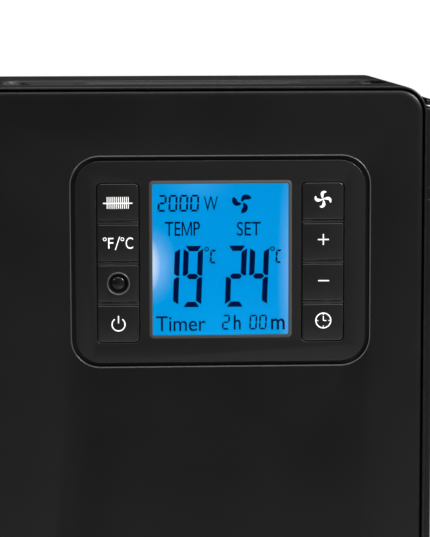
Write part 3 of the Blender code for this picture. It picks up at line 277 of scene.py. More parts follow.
def spaced(half, fine, coarse, step):
    """Stations from -half to half, close together near the ends."""
    edge = [value for value in fine if value < half]
    count = max(2, round((2 * half - 2 * coarse) / step))
    middle = [-half + coarse + (2 * half - 2 * coarse) * index / count for index in range(count + 1)]
    return [-half + value for value in edge] + middle + [half - value for value in reversed(edge)]


fin_low, fin_high = (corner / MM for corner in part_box("fin_1"))
fin_half_y, fin_half_z = (fin_high.y - fin_low.y) / 2, (fin_high.z - fin_low.z) / 2
fin_middle = (fin_low + fin_high) / 2
fin_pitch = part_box("fin_2")[0].x / MM - fin_low.x
boss_half = (fin_high.x - fin_low.x) / 2
header_drop = fin_half_z - 45.0
FIN_CORNER = 35.0
FINE = (0.0, 0.9, 2.0, 2.9, 3.8, 4.8, 6.4, 8.0, 9.6, 11.2, 12.8, 14.4, 16.2)


def fin_half_thickness(y, z):
    edge = inside(y, z, fin_half_y, fin_half_z, FIN_CORNER)
    bead = 0.5 * bell(edge - 3.3, 1.0)
    fade = 1.0 - ease(abs(z), header_drop - 52.0, header_drop - 36.0)
    crease = max(depth * bell(y - middle, width) for middle, width, depth in CREASES)
    bulge = ease(edge, 8.0, 16.5) * (1.0 - fade * crease)
    rim = 0.25 * bell(math.hypot(y, abs(z) - header_drop) - 33.0, 2.4)
    return HEM_HALF * (0.55 + 0.45 * ease(edge, 0.0, 0.9)) + bead + (BULGE_HALF - HEM_HALF) * bulge + rim


rows = spaced(fin_half_z, FINE, 18.0, 4.6)
shares = [value / fin_half_y for value in spaced(fin_half_y, FINE, 18.0, 3.3)]
skins = []
for side in (-1, 1):
    points, faces = [], []
    for z in rows:
        over = abs(z) - fin_half_z + FIN_CORNER
        half = fin_half_y - FIN_CORNER + math.sqrt(max(0.0, FIN_CORNER**2 - max(0.0, over) ** 2))
        points += [(side * fin_half_thickness(share * half, z), share * half, z) for share in shares]
    for row in range(len(rows) - 1):
        for column in range(len(shares) - 1):
            first = row * len(shares) + column
            faces.append((first, first + 1, first + 1 + len(shares), first + len(shares)))
    skins.append((points, faces))
hem = []
loop = [(0, column) for column in range(len(shares))]
loop += [(row, len(shares) - 1) for row in range(1, len(rows))]
loop += [(len(rows) - 1, column) for column in range(len(shares) - 2, -1, -1)]
loop += [(row, 0) for row in range(len(rows) - 2, 0, -1)]
for side in (0, 1):
    hem.append([skins[side][0][row * len(shares) + column] for row, column in loop])
BOSS = ((35.0, 6.2), (31.0, 7.2), (27.5, 8.9), (25.2, 11.6), (24.2, 15.0), (24.0, 19.0), (24.0, 22.9))
solids = [*skins, rings_solid(hem, caps=False)]
for side in (-1, 1):
    for z in (-header_drop, header_drop):
        outline = [(radius, side * along) for radius, along in BOSS]
        outline += [
            (24.5, side * 23.4), (24.7, side * 24.0), (24.3, side * boss_half), (0.01, side * boss_half)
        ]
        solids.append(lathe([(0.01, 0.0), *outline], "X", (0.0, z), 32))
fin_mesh = smooth(mesh_from("fin", *joined(*solids)), 40.0)


def add_socket(tree, name, kind, low="INPUT", value=None):
    socket = tree.interface.new_socket(name=name, in_out=low, socket_type=kind)
    if value is not None:
        socket.default_value = value
    return socket


# a row of like items: the object's own mesh, repeated along an offset
row_tree = bpy.data.node_groups.new("row_of_likes", "GeometryNodeTree")
add_socket(row_tree, "Item", "NodeSocketGeometry")
add_socket(row_tree, "Count", "NodeSocketInt", value=2)
add_socket(row_tree, "Offset", "NodeSocketVector")
add_socket(row_tree, "Finish", "NodeSocketMaterial")
add_socket(row_tree, "Row", "NodeSocketGeometry", "OUTPUT")
nodes, links = row_tree.nodes, row_tree.links
given, result = nodes.new("NodeGroupInput"), nodes.new("NodeGroupOutput")
line = nodes.new("GeometryNodeMeshLine")
spread = nodes.new("GeometryNodeInstanceOnPoints")
real = nodes.new("GeometryNodeRealizeInstances")
coat = nodes.new("GeometryNodeSetMaterial")
links.new(given.outputs["Count"], line.inputs["Count"])
links.new(given.outputs["Offset"], line.inputs["Offset"])
links.new(line.outputs["Mesh"], spread.inputs["Points"])
links.new(given.outputs["Item"], spread.inputs["Instance"])
links.new(spread.outputs["Instances"], real.inputs["Geometry"])
links.new(real.outputs["Geometry"], coat.inputs["Geometry"])
links.new(given.outputs["Finish"], coat.inputs["Material"])
links.new(coat.outputs["Geometry"], result.inputs["Row"])


def grown(made, tree, **inputs):
    """Runs a Geometry Nodes tree on an object and keeps the plain mesh that it makes."""
    modifier = made.modifiers.new(tree.name, "NODES")
    modifier.node_group = tree
    for item in tree.interface.items_tree:
        if item.in_out == "INPUT" and item.name in inputs:
            modifier[item.identifier] = inputs[item.name]
    made.data.update()
    return evaluated(made)


# the grain of a powder coat: fine orange peel, with a slower drift in tone
grain_group = bpy.data.node_groups.new("coat_grain", "ShaderNodeTree")
add_socket(grain_group, "Grain", "NodeSocketFloat", value=1600.0)
add_socket(grain_group, "Drift", "NodeSocketFloat", value=28.0)
add_socket(grain_group, "Height", "NodeSocketFloat", "OUTPUT")
add_socket(grain_group, "Tone", "NodeSocketFloat", "OUTPUT")
nodes, links = grain_group.nodes, grain_group.links
given, result = nodes.new("NodeGroupInput"), nodes.new("NodeGroupOutput")
place = nodes.new("ShaderNodeTexCoord")
peel = shaped(nodes, "ShaderNodeTexNoise", {"Detail": 3.0, "Roughness": 0.6})
speck = shaped(nodes, "ShaderNodeTexVoronoi", feature="SMOOTH_F1")
drift = shaped(nodes, "ShaderNodeTexNoise", {"Detail": 5.0})
for texture in (peel, speck, drift):
    links.new(place.outputs["Object"], texture.inputs["Vector"])
links.new(given.outputs["Grain"], peel.inputs["Scale"])
links.new(given.outputs["Grain"], speck.inputs["Scale"])
links.new(given.outputs["Drift"], drift.inputs["Scale"])
both = shaped(
    nodes, "ShaderNodeMath", {1: 0.5, 0: speck.outputs["Distance"], 2: peel.outputs["Fac"]},
    operation="MULTIPLY_ADD",
)
links.new(both.outputs["Value"], result.inputs["Height"])
mixed = shaped(
    nodes, "ShaderNodeMix", {"Factor": 0.35, "A": drift.outputs["Fac"], "B": peel.outputs["Fac"]}
)
links.new(mixed.outputs["Result"], result.inputs["Tone"])

# a paler colour on sharp edges, where a rounded normal leaves the face's own: real wear on some
# finishes, a painted highlight on others
wear_and_highlight_group = bpy.data.node_groups.new("edge_wear_and_painted_highlight", "ShaderNodeTree")
add_socket(wear_and_highlight_group, "Breadth", "NodeSocketFloat", value=0.0006)
add_socket(wear_and_highlight_group, "Patches", "NodeSocketFloat", value=220.0)
add_socket(wear_and_highlight_group, "Mask", "NodeSocketFloat", "OUTPUT")
nodes, links = wear_and_highlight_group.nodes, wear_and_highlight_group.links
given, result = nodes.new("NodeGroupInput"), nodes.new("NodeGroupOutput")
round_off = shaped(nodes, "ShaderNodeBevel", {"Radius": given.outputs["Breadth"]}, samples=3)
own = nodes.new("ShaderNodeNewGeometry")
match = shaped(
    nodes, "ShaderNodeVectorMath", {0: round_off.outputs["Normal"], 1: own.outputs["Normal"]},
    operation="DOT_PRODUCT",
)
edge = shaped(
    nodes, "ShaderNodeMapRange", {"From Min": 0.99, "From Max": 0.86, "Value": match.outputs["Value"]}
)
place = nodes.new("ShaderNodeTexCoord")
patch = shaped(
    nodes, "ShaderNodeTexNoise",
    {"Detail": 4.0, "Vector": place.outputs["Object"], "Scale": given.outputs["Patches"]},
)
broken = shaped(
    nodes, "ShaderNodeMapRange", {"From Min": 0.42, "From Max": 0.62, "Value": patch.outputs["Fac"]}
)
kept = shaped(
    nodes, "ShaderNodeMath", {0: edge.outputs["Result"], 1: broken.outputs["Result"]}, operation="MULTIPLY"
)
links.new(kept.outputs["Value"], result.inputs["Mask"])

# the dust that settles on what faces up
dust_group = bpy.data.node_groups.new("settled_dust", "ShaderNodeTree")
add_socket(dust_group, "Clumps", "NodeSocketFloat", value=60.0)
add_socket(dust_group, "Mask", "NodeSocketFloat", "OUTPUT")
nodes, links = dust_group.nodes, dust_group.links
given, result = nodes.new("NodeGroupInput"), nodes.new("NodeGroupOutput")
own = nodes.new("ShaderNodeNewGeometry")
upward = shaped(nodes, "ShaderNodeSeparateXYZ", {"Vector": own.outputs["Normal"]})
flat = shaped(nodes, "ShaderNodeMapRange", {"From Min": 0.55, "Value": upward.outputs["Z"]})
place = nodes.new("ShaderNodeTexCoord")
clump = shaped(
    nodes, "ShaderNodeTexNoise",
    {"Detail": 8.0, "Roughness": 0.7, "Vector": place.outputs["Object"], "Scale": given.outputs["Clumps"]},
)
kept = shaped(
    nodes, "ShaderNodeMath", {0: flat.outputs["Result"], 1: clump.outputs["Fac"]}, operation="MULTIPLY"
)
links.new(kept.outputs["Value"], result.inputs["Mask"])


def finish(
    name,
    colour,
    rough,
    grain=1600.0,
    bump=0.08,
    tone=0.18,
    rough_spread=0.08,
    edge_wear_and_highlight_colour=None,
    edge_wear_and_highlight_amount=0.5,
    dust=0.05,
    metallic=0.0,
    specular=0.5,
    coat=0.0,
    breadth=0.0006,
):
    """A coated, moulded or metal surface: grain, drift in tone, dust, and paler edges of wear and painted
    highlight.
    """
    made = bpy.data.materials.new(name)
    made.use_nodes = True
    tree = made.node_tree
    shader = tree.nodes["Principled BSDF"]
    shader.inputs["Metallic"].default_value = metallic
    shader.inputs["Specular IOR Level"].default_value = specular
    shader.inputs["Coat Weight"].default_value = coat
    shader.inputs["Coat Roughness"].default_value = 0.12

    def group(tree_group, **values):
        node = shaped(tree.nodes, "ShaderNodeGroup", node_tree=tree_group)
        for key, value in values.items():
            node.inputs[key].default_value = value
        return node

    def blend(factor, first, second, amount=1.0):
        node = shaped(tree.nodes, "ShaderNodeMix", data_type="RGBA")
        if amount != 1.0:
            scaled = shaped(tree.nodes, "ShaderNodeMath", {1: amount, 0: factor}, operation="MULTIPLY")
            factor = scaled.outputs["Value"]
        tree.links.new(factor, node.inputs["Factor"])
        for socket, value in (("A", first), ("B", second)):
            if isinstance(value, tuple):
                node.inputs[socket].default_value = (*value, 1.0)
            else:
                tree.links.new(value, node.inputs[socket])
        return node.outputs["Result"]

    skin = group(grain_group, Grain=grain)
    dark = tuple(value * (1 - tone) for value in colour)
    bright = tuple(value * (1 + tone) for value in colour)
    shade = blend(skin.outputs["Tone"], dark, bright)
    roughness = shaped(
        tree.nodes, "ShaderNodeMapRange",
        {
            "From Min": 0.3, "From Max": 0.7, "To Min": rough - rough_spread,
            "To Max": rough + rough_spread, "Value": skin.outputs["Tone"],
        },
    )
    # paler edges: rubbed wear on most finishes, a painted highlight on the keys, the panel plate and the
    # tower
    if edge_wear_and_highlight_colour is not None:
        edges = group(wear_and_highlight_group, Breadth=breadth)
        shade = blend(edges.outputs["Mask"], shade, edge_wear_and_highlight_colour, edge_wear_and_highlight_amount)
    if dust:
        film = group(dust_group)
        shade = blend(film.outputs["Mask"], shade, (0.42, 0.40, 0.37), dust)
    tree.links.new(shade, shader.inputs["Base Color"])
    tree.links.new(roughness.outputs["Result"], shader.inputs["Roughness"])
    relief = shaped(
        tree.nodes, "ShaderNodeBump",
        {"Strength": bump, "Distance": 0.0004, "Height": skin.outputs["Height"]},
    )
    tree.links.new(relief.outputs["Normal"], shader.inputs["Normal"])
    return made


fin_paint = finish(
    "fin_powder_coat", (0.012, 0.012, 0.0125), 0.4, 1500.0, 0.14, edge_wear_and_highlight_colour=(0.05, 0.05, 0.052), dust=0.05
)
fin_row = piece("fin_row", fin_mesh, fin_paint, 40.0)
fin_row.data.transform(Matrix.Translation(fin_middle * MM))
grown(fin_row, row_tree, Count=len(FINS), Offset=(fin_pitch * MM, 0.0, 0.0), Finish=fin_paint)
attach(fin_row, "heater")
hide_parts(*FINS)

# ---------------------------------------------------------------- header plugs
# Turned steel plugs close the two headers on the left. Each has a hexagon to turn it by, a chamfered
# flange and a soft washer under it, and it is screwed in against a painted boss.
PLUG_FLATS = 13.0

plug_steel = finish(
    "zinc_plated_steel", (
        0.46, 0.45, 0.43
    ), 0.34, 900.0, 0.05, 0.12, 0.1, edge_wear_and_highlight_colour=(0.62, 0.61, 0.58), metallic=1.0, dust=0.0
)
for node in ("header_plug_low", "header_plug_high"):
    low, high = (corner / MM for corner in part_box(node))
    y, z = (low.y + high.y) / 2, (low.z + high.z) / 2
    face, seat = low.x, -boss_half + fin_middle.x - 0.3
    flange = lathe(
        (
            (0.01, face + 1.6), (19.2, face + 1.6), (20.4, face + 2.0), (20.9, face + 2.8), (20.9, seat),
            (17.6, seat), (17.6, seat + 12.0), (0.01, seat + 12.0),
        ),
        "X", (y, z), 48,
    )
    hexagon = lathe(
        (
            (0.01, face + 0.9), (8.0, face + 0.9), (8.4, face), (PLUG_FLATS - 1.2, face),
            (PLUG_FLATS, face + 0.7), (PLUG_FLATS, face + 2.4), (0.01, face + 2.4),
        ),
        "X", (y, z), 6,
    )
    plug = piece(f"{node}_turned", mesh_from(node, *joined(flange, hexagon)), plug_steel, 25.0)
    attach(plug, "heater")
    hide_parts(node)

# ---------------------------------------------------------------- heating element
# A hairpin sheath of drawn steel tube runs through the lower header. Only its flange and its two
# terminals show, inside the tower.
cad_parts["heating_element"].data.materials.clear()
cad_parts["heating_element"].data.materials.append(
    finish("sheath_steel", (0.33, 0.31, 0.29), 0.42, 700.0, 0.08, 0.2, 0.12, metallic=1.0, dust=0.0)
)

# ---------------------------------------------------------------- tower sleeve
# One sheet of steel, a millimetre thick, is bent round four corners and welded under the floor. The
# top is cut out for the handle tray, and the left side for the flange of the heating element.
CORNER_FACETS = 18
TOWER_CORNER = 12.0
SHEET = 1.0

shell_low, shell_high = (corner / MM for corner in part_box("tower_shell"))
tower_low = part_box("rear_cover")[0] / MM
tower_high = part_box("rear_cover")[1] / MM
tower_x, tower_z = (tower_low.x + tower_high.x) / 2, (tower_low.z + tower_high.z) / 2
tower_width, tower_height = tower_high.x - tower_low.x, tower_high.z - tower_low.z
front, rear, sleeve_end = shell_low.y, tower_high.y, shell_high.y


def rounded(width, height, radius, centre, facets=CORNER_FACETS):
    """Outline of a rounded rectangle. radius is one number, or four from the upper right, anticlockwise."""
    radii = radius if isinstance(radius, tuple) else (radius,) * 4
    points = []
    for quarter, (sign_u, sign_v) in enumerate(((1, 1), (-1, 1), (-1, -1), (1, -1))):
        r = max(radii[quarter], 0.01)
        corner_u = centre[0] + sign_u * (width / 2 - r)
        corner_v = centre[1] + sign_v * (height / 2 - r)
        for step in range(facets + 1):
            angle = math.radians(90 * quarter + 90 * step / facets)
            points.append((corner_u + r * math.cos(angle), corner_v + r * math.sin(angle)))
    return points


def at(outline, axis, along):
    """The outline as points in space, at a distance along the axis that it faces."""
    turned = {
        "X": lambda u, v: (along, u, v), "Y": lambda u, v: (u, along, v), "Z": lambda u, v: (u, v, along)
    }
    return [turned[axis](u, v) for u, v in outline]


def slab(outline, axis, *places):
    """A straight prism of one outline between two places along an axis."""
    return rings_solid([at(outline, axis, place) for place in places])


def cut_out(made, solid):
    """Cuts a solid, given as points and faces, out of an object and keeps the plain mesh."""
    tool = bpy.data.objects.new("cutter", mesh_from("cutter", *solid))
    bpy.context.scene.collection.objects.link(tool)
    boolean = made.modifiers.new("cut", "BOOLEAN")
    boolean.operation = "DIFFERENCE"
    boolean.solver = "EXACT"
    boolean.object = tool
    finishes = [material for material in made.data.materials]
    evaluated(made)
    made.data.materials.clear()
    for material in finishes:
        made.data.materials.append(material)
    bpy.data.objects.remove(tool, do_unlink=True)
    return made


def flared(width, height, radius, centre, axis, face, end, flare=0.45):
    """A cutter whose mouth opens out in a small radius at the face, which lies on the low side."""
    way = 1 if end > face else -1
    sections = [(flare + 0.3, -0.3)]
    sections += [
        (flare * (1 - math.sin(turn)), flare * (1 - math.cos(turn)))
        for turn in (0.0, 0.4, 0.8, 1.2, math.pi / 2)
    ]
    rings = [
        at(rounded(width + 2 * o, height + 2 * o, radius + o, centre), axis, face + way * back)
        for o, back in sections
    ]
    rings.append(at(rounded(width, height, radius, centre), axis, end))
    return rings_solid(rings)


def tower_outline(inset):
    return rounded(
        tower_width - 2 * inset, tower_height - 2 * inset, TOWER_CORNER - inset, (tower_x, tower_z)
    )


# The paler edges of the tower paint are partly rubbed wear and partly a painted highlight along the rolled
# edge.
cover_black = finish(
    "satin_tower_paint", (
        0.004, 0.004, 0.0043
    ), 0.34, 2600.0, 0.05, 0.1, 0.05, edge_wear_and_highlight_colour=(0.05, 0.05, 0.052), edge_wear_and_highlight_amount=0.25, dust=0.01,
    specular=0.22
)
sections = (
    (0.4, front), (0.12, front + 0.13), (0.0, front + 0.42), (0.0, sleeve_end - 0.24), (
        0.06, sleeve_end - 0.07
    ),
    (0.22, sleeve_end), (
        SHEET - 0.15, sleeve_end
    ), (SHEET, sleeve_end - 0.2), (SHEET, front + 0.2), (SHEET - 0.15, front),
)
sleeve = piece(
    "tower_sleeve",
    mesh_from(
        "sleeve", *rings_solid([at(tower_outline(inset), "Y", y) for inset, y in sections], closed=True)
    ),
    cover_black,
)
TROUGH = (184.0, 54.0, 14.0)
trough_y = -18.0
mouth = slab(
    rounded(TROUGH[0], TROUGH[1], TROUGH[2], (tower_x, trough_y)), "Z", tower_high.z - 3, tower_high.z + 3
)
cut_out(sleeve, mouth)
element = (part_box("heating_element")[0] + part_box("heating_element")[1]) / 2 / MM
cut_out(
    sleeve,
    lathe(
        (
            (0.01, shell_low.x - 3), (25.0, shell_low.x - 3), (25.0, shell_low.x + 4),
            (0.01, shell_low.x + 4),
        ),
        "X", (element.y, element.z),
    ),
)
smooth(sleeve.data, 20.0)
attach(sleeve, "heater")
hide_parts("tower_shell")

# ---------------------------------------------------------------- front cover
# A flat tray of painted sheet with a rolled edge, set a hair inside the sleeve so that a dark seam runs
# round it. Two openings are punched in it, for the control panel and for the warm air. A narrow ridge
# runs round the first, painted pale so that it shows as a highlight line.
ROLL = 2.7  # how far the rolled edge reaches in from the side
ROLL_FALL = 1.15  # how far it falls back
ROLL_FACETS = 9

cover_low, cover_high = (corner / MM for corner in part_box("front_cover"))
cover_width, cover_height = cover_high.x - cover_low.x, cover_high.z - cover_low.z
bezel_low, bezel_high = (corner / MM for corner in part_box("panel_bezel"))
panel_x, panel_z = (bezel_low.x + bezel_high.x) / 2, (bezel_low.z + bezel_high.z) / 2
grille_low, grille_high = (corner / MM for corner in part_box("outlet_grille"))
outlet_z = (grille_low.z + grille_high.z) / 2
PANEL = (130.0, 91.3, 12.0)
GROOVE = 1.3
OUTLET = (150.0, 96.0, 6.0)


def pressed_tray(face, way, depth, width, height, corner, wall, roll=ROLL, fall=ROLL_FALL):
    """A tray with a rolled edge, whose face looks along Y, as points and faces."""
    sections = []
    for step in range(ROLL_FACETS + 1):
        turn = math.pi / 2 * step / ROLL_FACETS
        sections.append((roll * (1 - math.sin(turn)), fall * (1 - math.cos(turn))))
    sections += [
        (0.0, depth - 0.2), (0.2, depth), (wall - 0.2, depth), (wall, depth - 0.2), (wall, wall + 1.0),
        (wall + 1.0, wall),
    ]
    rings = []
    for inset, back in sections:
        outline = rounded(width - 2 * inset, height - 2 * inset, corner - inset * 0.6, (tower_x, tower_z))
        rings.append(at(outline, "Y", face + way * back))
    return rings_solid(rings)


front_cover = piece(
    "front_plate",
    mesh_from(
        "front_plate",
        *pressed_tray(front, 1, 11.0, cover_width, cover_height, TOWER_CORNER - SHEET - 0.8, 2.0),
    ),
    cover_black,
)
cut_out(
    front_cover,
    flared(
        PANEL[0] + GROOVE, PANEL[1] + GROOVE, PANEL[2] + GROOVE / 2, (panel_x, panel_z), "Y", front,
        front + 5.0, 0.32,
    ),
)
cut_out(front_cover, flared(*OUTLET, (tower_x, outlet_z), "Y", front, front + 5.0))
smooth(front_cover.data, 24.0)
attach(front_cover, "heater")
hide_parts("front_cover")

# The ridge's pale paint is a painted highlight: it draws the light line round the panel's opening.
ridge_pale_highlight_paint = finish(
    "pale_ridge_painted_highlight", (0.05, 0.05, 0.051), 0.22, 3200.0, 0.05, 0.1, 0.04, dust=0.0, specular=0.5
)
# the ridge's section: how far out of the opening's edge, and how far behind the cover's face
RIDGE = ((0.08, 0.5), (0.08, -0.02), (0.16, -0.13), (0.34, -0.19), (0.52, -0.13), (0.66, 0.02), (0.66, 0.5))
ridge_rings = []
for out, back in RIDGE:
    wide, tall = PANEL[0] + GROOVE + 2 * out, PANEL[1] + GROOVE + 2 * out
    corner = PANEL[2] + GROOVE / 2 + out
    ridge_rings.append(at(rounded(wide, tall, corner, (panel_x, panel_z)), "Y", front + back))
ridge = piece(
    "panel_opening_ridge", mesh_from("ridge", *rings_solid(ridge_rings, closed=True)), ridge_pale_highlight_paint, 60.0
)
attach(ridge, "heater")

# ---------------------------------------------------------------- rear cover
# A deeper tray of the same sheet closes the back. Rows of slots let cool air in behind the fan and warm
# air out behind the electronics, and four deep wells hold its screws.
SEAM_END = 49.3
WELL_X, WELL_Z = 88.0, (96.0, 594.0)

rear_cover = piece(
    "rear_plate",
    mesh_from(
        "rear_plate",
        *pressed_tray(rear, -1, rear - SEAM_END, tower_width, tower_height, TOWER_CORNER, 2.0, 3.0, 3.0),
    ),
    cover_black,
)
openings = []
for count, width, middle in ((6, 110.0, outlet_z), (4, 90.0, panel_z)):
    for slot in range(count):
        z = middle + (slot - (count - 1) / 2) * 11.0
        openings.append(flared(width, 4.0, 1.98, (tower_x, z), "Y", rear, rear - 6.0, 0.5))
gland_low, gland_high = (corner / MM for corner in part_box("cable_gland"))
gland_x, gland_z = (gland_low.x + gland_high.x) / 2, (gland_low.z + gland_high.z) / 2
openings.append(
    lathe(
        ((0.01, rear - 5), (8.6, rear - 5), (8.6, rear + 2), (0.01, rear + 2)), "Y", (gland_x, gland_z), 40
    )
)
for side in (-1, 1):
    for z in WELL_Z:
        openings.append(
            lathe(
                (
                    (0.01, rear - 5), (4.0, rear - 5), (4.0, rear - 0.4), (4.5, rear + 0.05),
                    (4.7, rear + 2), (0.01, rear + 2),
                ),
                "Y", (tower_x + side * WELL_X, z), 32,
            )
        )
cut_out(rear_cover, joined(*openings))
smooth(rear_cover.data, 24.0)
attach(rear_cover, "heater")
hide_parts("rear_cover")

tongue_rings = [
    at(tower_outline(inset), "Y", y)
    for inset, y in ((1.4, 43.4), (1.3, 43.6), (1.3, 50.5), (2.6, 50.5), (2.6, 43.4))
]
tongue = piece(
    "rear_plate_tongue", mesh_from("tongue", *rings_solid(tongue_rings, closed=True)), cover_black
)
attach(tongue, "heater")
wells = []
for side in (-1, 1):
    for z in WELL_Z:
        tube = ((4.0, 50.2), (4.0, rear - 1.2), (5.5, rear - 1.2), (5.5, 41.0), (2.2, 41.0), (2.2, 50.2))
        wells.append(lathe(tube, "Y", (tower_x + side * WELL_X, z), 32, closed=True))
well_tubes = piece("rear_plate_wells", mesh_from("wells", *joined(*wells)), cover_black)
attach(well_tubes, "heater")

# ---------------------------------------------------------------- cover screws
# Four pan-head screws of zinc plated steel, with a cross recess, sit at the bottom of the wells.
SCREW_SEAT = 48.5
HEAD_RADIUS = 3.5

head = lathe(
    ((0.01, SCREW_SEAT - 8.0), (1.9, SCREW_SEAT - 8.0), (1.9, SCREW_SEAT), (HEAD_RADIUS, SCREW_SEAT),
     (HEAD_RADIUS, SCREW_SEAT + 1.2),
     (3.1, SCREW_SEAT + 1.9), (2.2, SCREW_SEAT + 2.35), (0.01, SCREW_SEAT + 2.5)),
    "Y", (0.0, 0.0), 28,
)
screw_item = piece("screw_item", mesh_from("screw", *head), plug_steel)
cross = []
for wide, tall in ((3.6, 0.7), (0.7, 3.6)):
    cross.append(slab(rounded(wide, tall, 0.1, (0.0, 0.0), 1), "Y", SCREW_SEAT + 1.2, SCREW_SEAT + 4.0))
for arm in cross:
    cut_out(screw_item, arm)
smooth(screw_item.data, 30.0)

# likes on points: an item object set on each vertex of the object's own mesh
spot_tree = bpy.data.node_groups.new("likes_on_spots", "GeometryNodeTree")
add_socket(spot_tree, "Spots", "NodeSocketGeometry")
add_socket(spot_tree, "Likeness", "NodeSocketObject")
add_socket(spot_tree, "Turn", "NodeSocketFloat", value=0.0)
add_socket(spot_tree, "Finish", "NodeSocketMaterial")
add_socket(spot_tree, "Likes", "NodeSocketGeometry", "OUTPUT")
nodes, links = spot_tree.nodes, spot_tree.links
given, result = nodes.new("NodeGroupInput"), nodes.new("NodeGroupOutput")
model = nodes.new("GeometryNodeObjectInfo")
spread = nodes.new("GeometryNodeInstanceOnPoints")
number = nodes.new("GeometryNodeInputIndex")
angle = shaped(nodes, "ShaderNodeMath", operation="MULTIPLY")
axis = nodes.new("ShaderNodeCombineXYZ")
real = nodes.new("GeometryNodeRealizeInstances")
coat = nodes.new("GeometryNodeSetMaterial")
links.new(given.outputs["Likeness"], model.inputs["Object"])
links.new(given.outputs["Spots"], spread.inputs["Points"])
links.new(model.outputs["Geometry"], spread.inputs["Instance"])
links.new(number.outputs["Index"], angle.inputs[0])
links.new(given.outputs["Turn"], angle.inputs[1])
links.new(angle.outputs["Value"], axis.inputs["Y"])
links.new(axis.outputs["Vector"], spread.inputs["Rotation"])
links.new(spread.outputs["Instances"], real.inputs["Geometry"])
links.new(real.outputs["Geometry"], coat.inputs["Geometry"])
links.new(given.outputs["Finish"], coat.inputs["Material"])
links.new(coat.outputs["Geometry"], result.inputs["Likes"])

spots = [(tower_x + side * WELL_X, 0.0, z) for side in (-1, 1) for z in WELL_Z]
spot_mesh = bpy.data.meshes.new("screw_spots")
spot_mesh.from_pydata([Vector(spot) * MM for spot in spots], [], [])
screws = bpy.data.objects.new("cover_screws", spot_mesh)
bpy.context.scene.collection.objects.link(screws)
grown(screws, spot_tree, Likeness=screw_item, Turn=0.7, Finish=plug_steel)
bpy.data.objects.remove(screw_item, do_unlink=True)
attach(screws, "heater")
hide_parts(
    *[f"cover_screw_{height}_{side}" for height in ("low", "high") for side in ("left", "right")]
)

# ---------------------------------------------------------------- side panel
# A shallow pressed panel is clipped on the right of the tower. Its cap is a separate strip, so that a
# slit runs under it, and two finger notches are nicked in its front edge.
NOTCH_Z = (582.0, 120.0)

side_low, side_high = (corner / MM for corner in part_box("side_panel"))
side_y, side_z = (side_low.y + side_high.y) / 2, (side_low.z + side_high.z) / 2
side_depth, side_height = side_high.y - side_low.y, side_high.z - side_low.z
SIDE_EDGE = 1.2


def side_block(z_low, z_high, corners):
    rings = []
    middle, tall = (z_low + z_high) / 2, z_high - z_low
    for inset, x in (
        (0.0, side_low.x), (0.0, side_high.x - SIDE_EDGE), (0.1, side_high.x - 0.75),
        (0.35, side_high.x - 0.35), (0.75, side_high.x - 0.1), (SIDE_EDGE, side_high.x),
    ):
        radii = tuple(max(r - inset, 0.05) for r in corners)
        rings.append(
            at(rounded(side_depth - 2 * inset, tall - 2 * inset, radii, (side_y, middle), 8), "X", x)
        )
    return rings_solid(rings)


side_main = piece(
    "side_plate", mesh_from("side_plate", *side_block(side_low.z, side_high.z - 3.4, (1.5, 1.5, 6.0, 6.0))),
    cover_black,
)
for z in NOTCH_Z:
    notch = rings_solid([
        at(rounded(10.0 + 2 * o, 7.0 + 2 * o, 1.5 + o, (side_low.y, z), 6), "X", x)
        for o, x in (
            (0.0, side_high.x - 2.4), (0.0, side_high.x - 0.6), (0.25, side_high.x - 0.2),
            (0.7, side_high.x + 0.1), (0.8, side_high.x + 1.0),
        )
    ])
    cut_out(side_main, notch)
for step in range(-3, 4):
    y = side_y + 2.0 + step * 13.0
    channel = rings_solid([
        at(rounded(3.2 + 2 * o, side_height - 150.0 + 2 * o, 1.59 + o, (y, side_z), 6), "X", x)
        for o, x in (
            (-0.9, side_high.x - 0.9), (-0.2, side_high.x - 0.6), (0.3, side_high.x - 0.1),
            (0.6, side_high.x + 0.5),
        )
    ])
    cut_out(side_main, channel)
smooth(side_main.data, 24.0)
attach(side_main, "heater")
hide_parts("side_panel")
side_cap = piece(
    "side_plate_cap",
    mesh_from("side_cap", *side_block(side_high.z - 2.6, side_high.z, (1.2, 1.2, 0.8, 0.8))), cover_black,
)
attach(side_cap, "heater")

# ---------------------------------------------------------------- handle tray
# A moulded tray lines the recess in the top. Its lip shows as a thin line round the opening, and two
# ears at the back carry the handle's pins.

black_plastic = finish(
    "moulded_black_plastic", (
        0.009, 0.009, 0.0095
    ), 0.4, 3200.0, 0.09, 0.12, 0.06, edge_wear_and_highlight_colour=(0.05, 0.05, 0.052), edge_wear_and_highlight_amount=0.3, dust=0.012,
    specular=0.35
)


def refined(node, name, material, bevel=0.5, segments=2, degrees=28.0):
    """A copy of a CAD solid with merged corners and small radii on its sharp edges."""
    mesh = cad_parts[node].data.copy()
    built = bmesh.new()
    built.from_mesh(mesh)
    bmesh.ops.remove_doubles(built, verts=built.verts, dist=2e-6)
    bmesh.ops.dissolve_limit(built, angle_limit=math.radians(1.0), verts=built.verts, edges=built.edges)
    built.to_mesh(mesh)
    built.free()
    made = piece(name, mesh, material)
    if bevel:
        soften = made.modifiers.new("soften", "BEVEL")
        soften.width = bevel * MM
        soften.segments = segments
        soften.limit_method = "ANGLE"
        soften.angle_limit = math.radians(degrees)
        soften.use_clamp_overlap = True
        evaluated(made)
    smooth(made.data, 40.0)
    return made


tray = refined("handle_tray", "handle_recess", black_plastic, 0.35)
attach(tray, "heater")
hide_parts("handle_tray")

# ---------------------------------------------------------------- handle
# A flush lid of moulded plastic, wider at its hinged back edge, with rounded edges and a hole for the
# fingers. It folds up to carry the heater.
HANDLE_EDGE = 1.6
OPENING = (104.0, 20.0, 8.0)

handle_low, handle_high = (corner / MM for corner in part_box("handle"))
half_back, half_front = (handle_high.x - handle_low.x) / 2, 71.5
handle_y, handle_depth = (handle_low.y + handle_high.y) / 2, handle_high.y - handle_low.y


def handle_outline(inset):
    outline = []
    for across, along in rounded(2.0, 2.0, 0.24, (0.0, 0.0), 12):
        half = half_front + (half_back - half_front) * (along + 1) / 2
        outline.append((tower_x + across * (half - inset), handle_y + along * (handle_depth / 2 - inset)))
    return outline


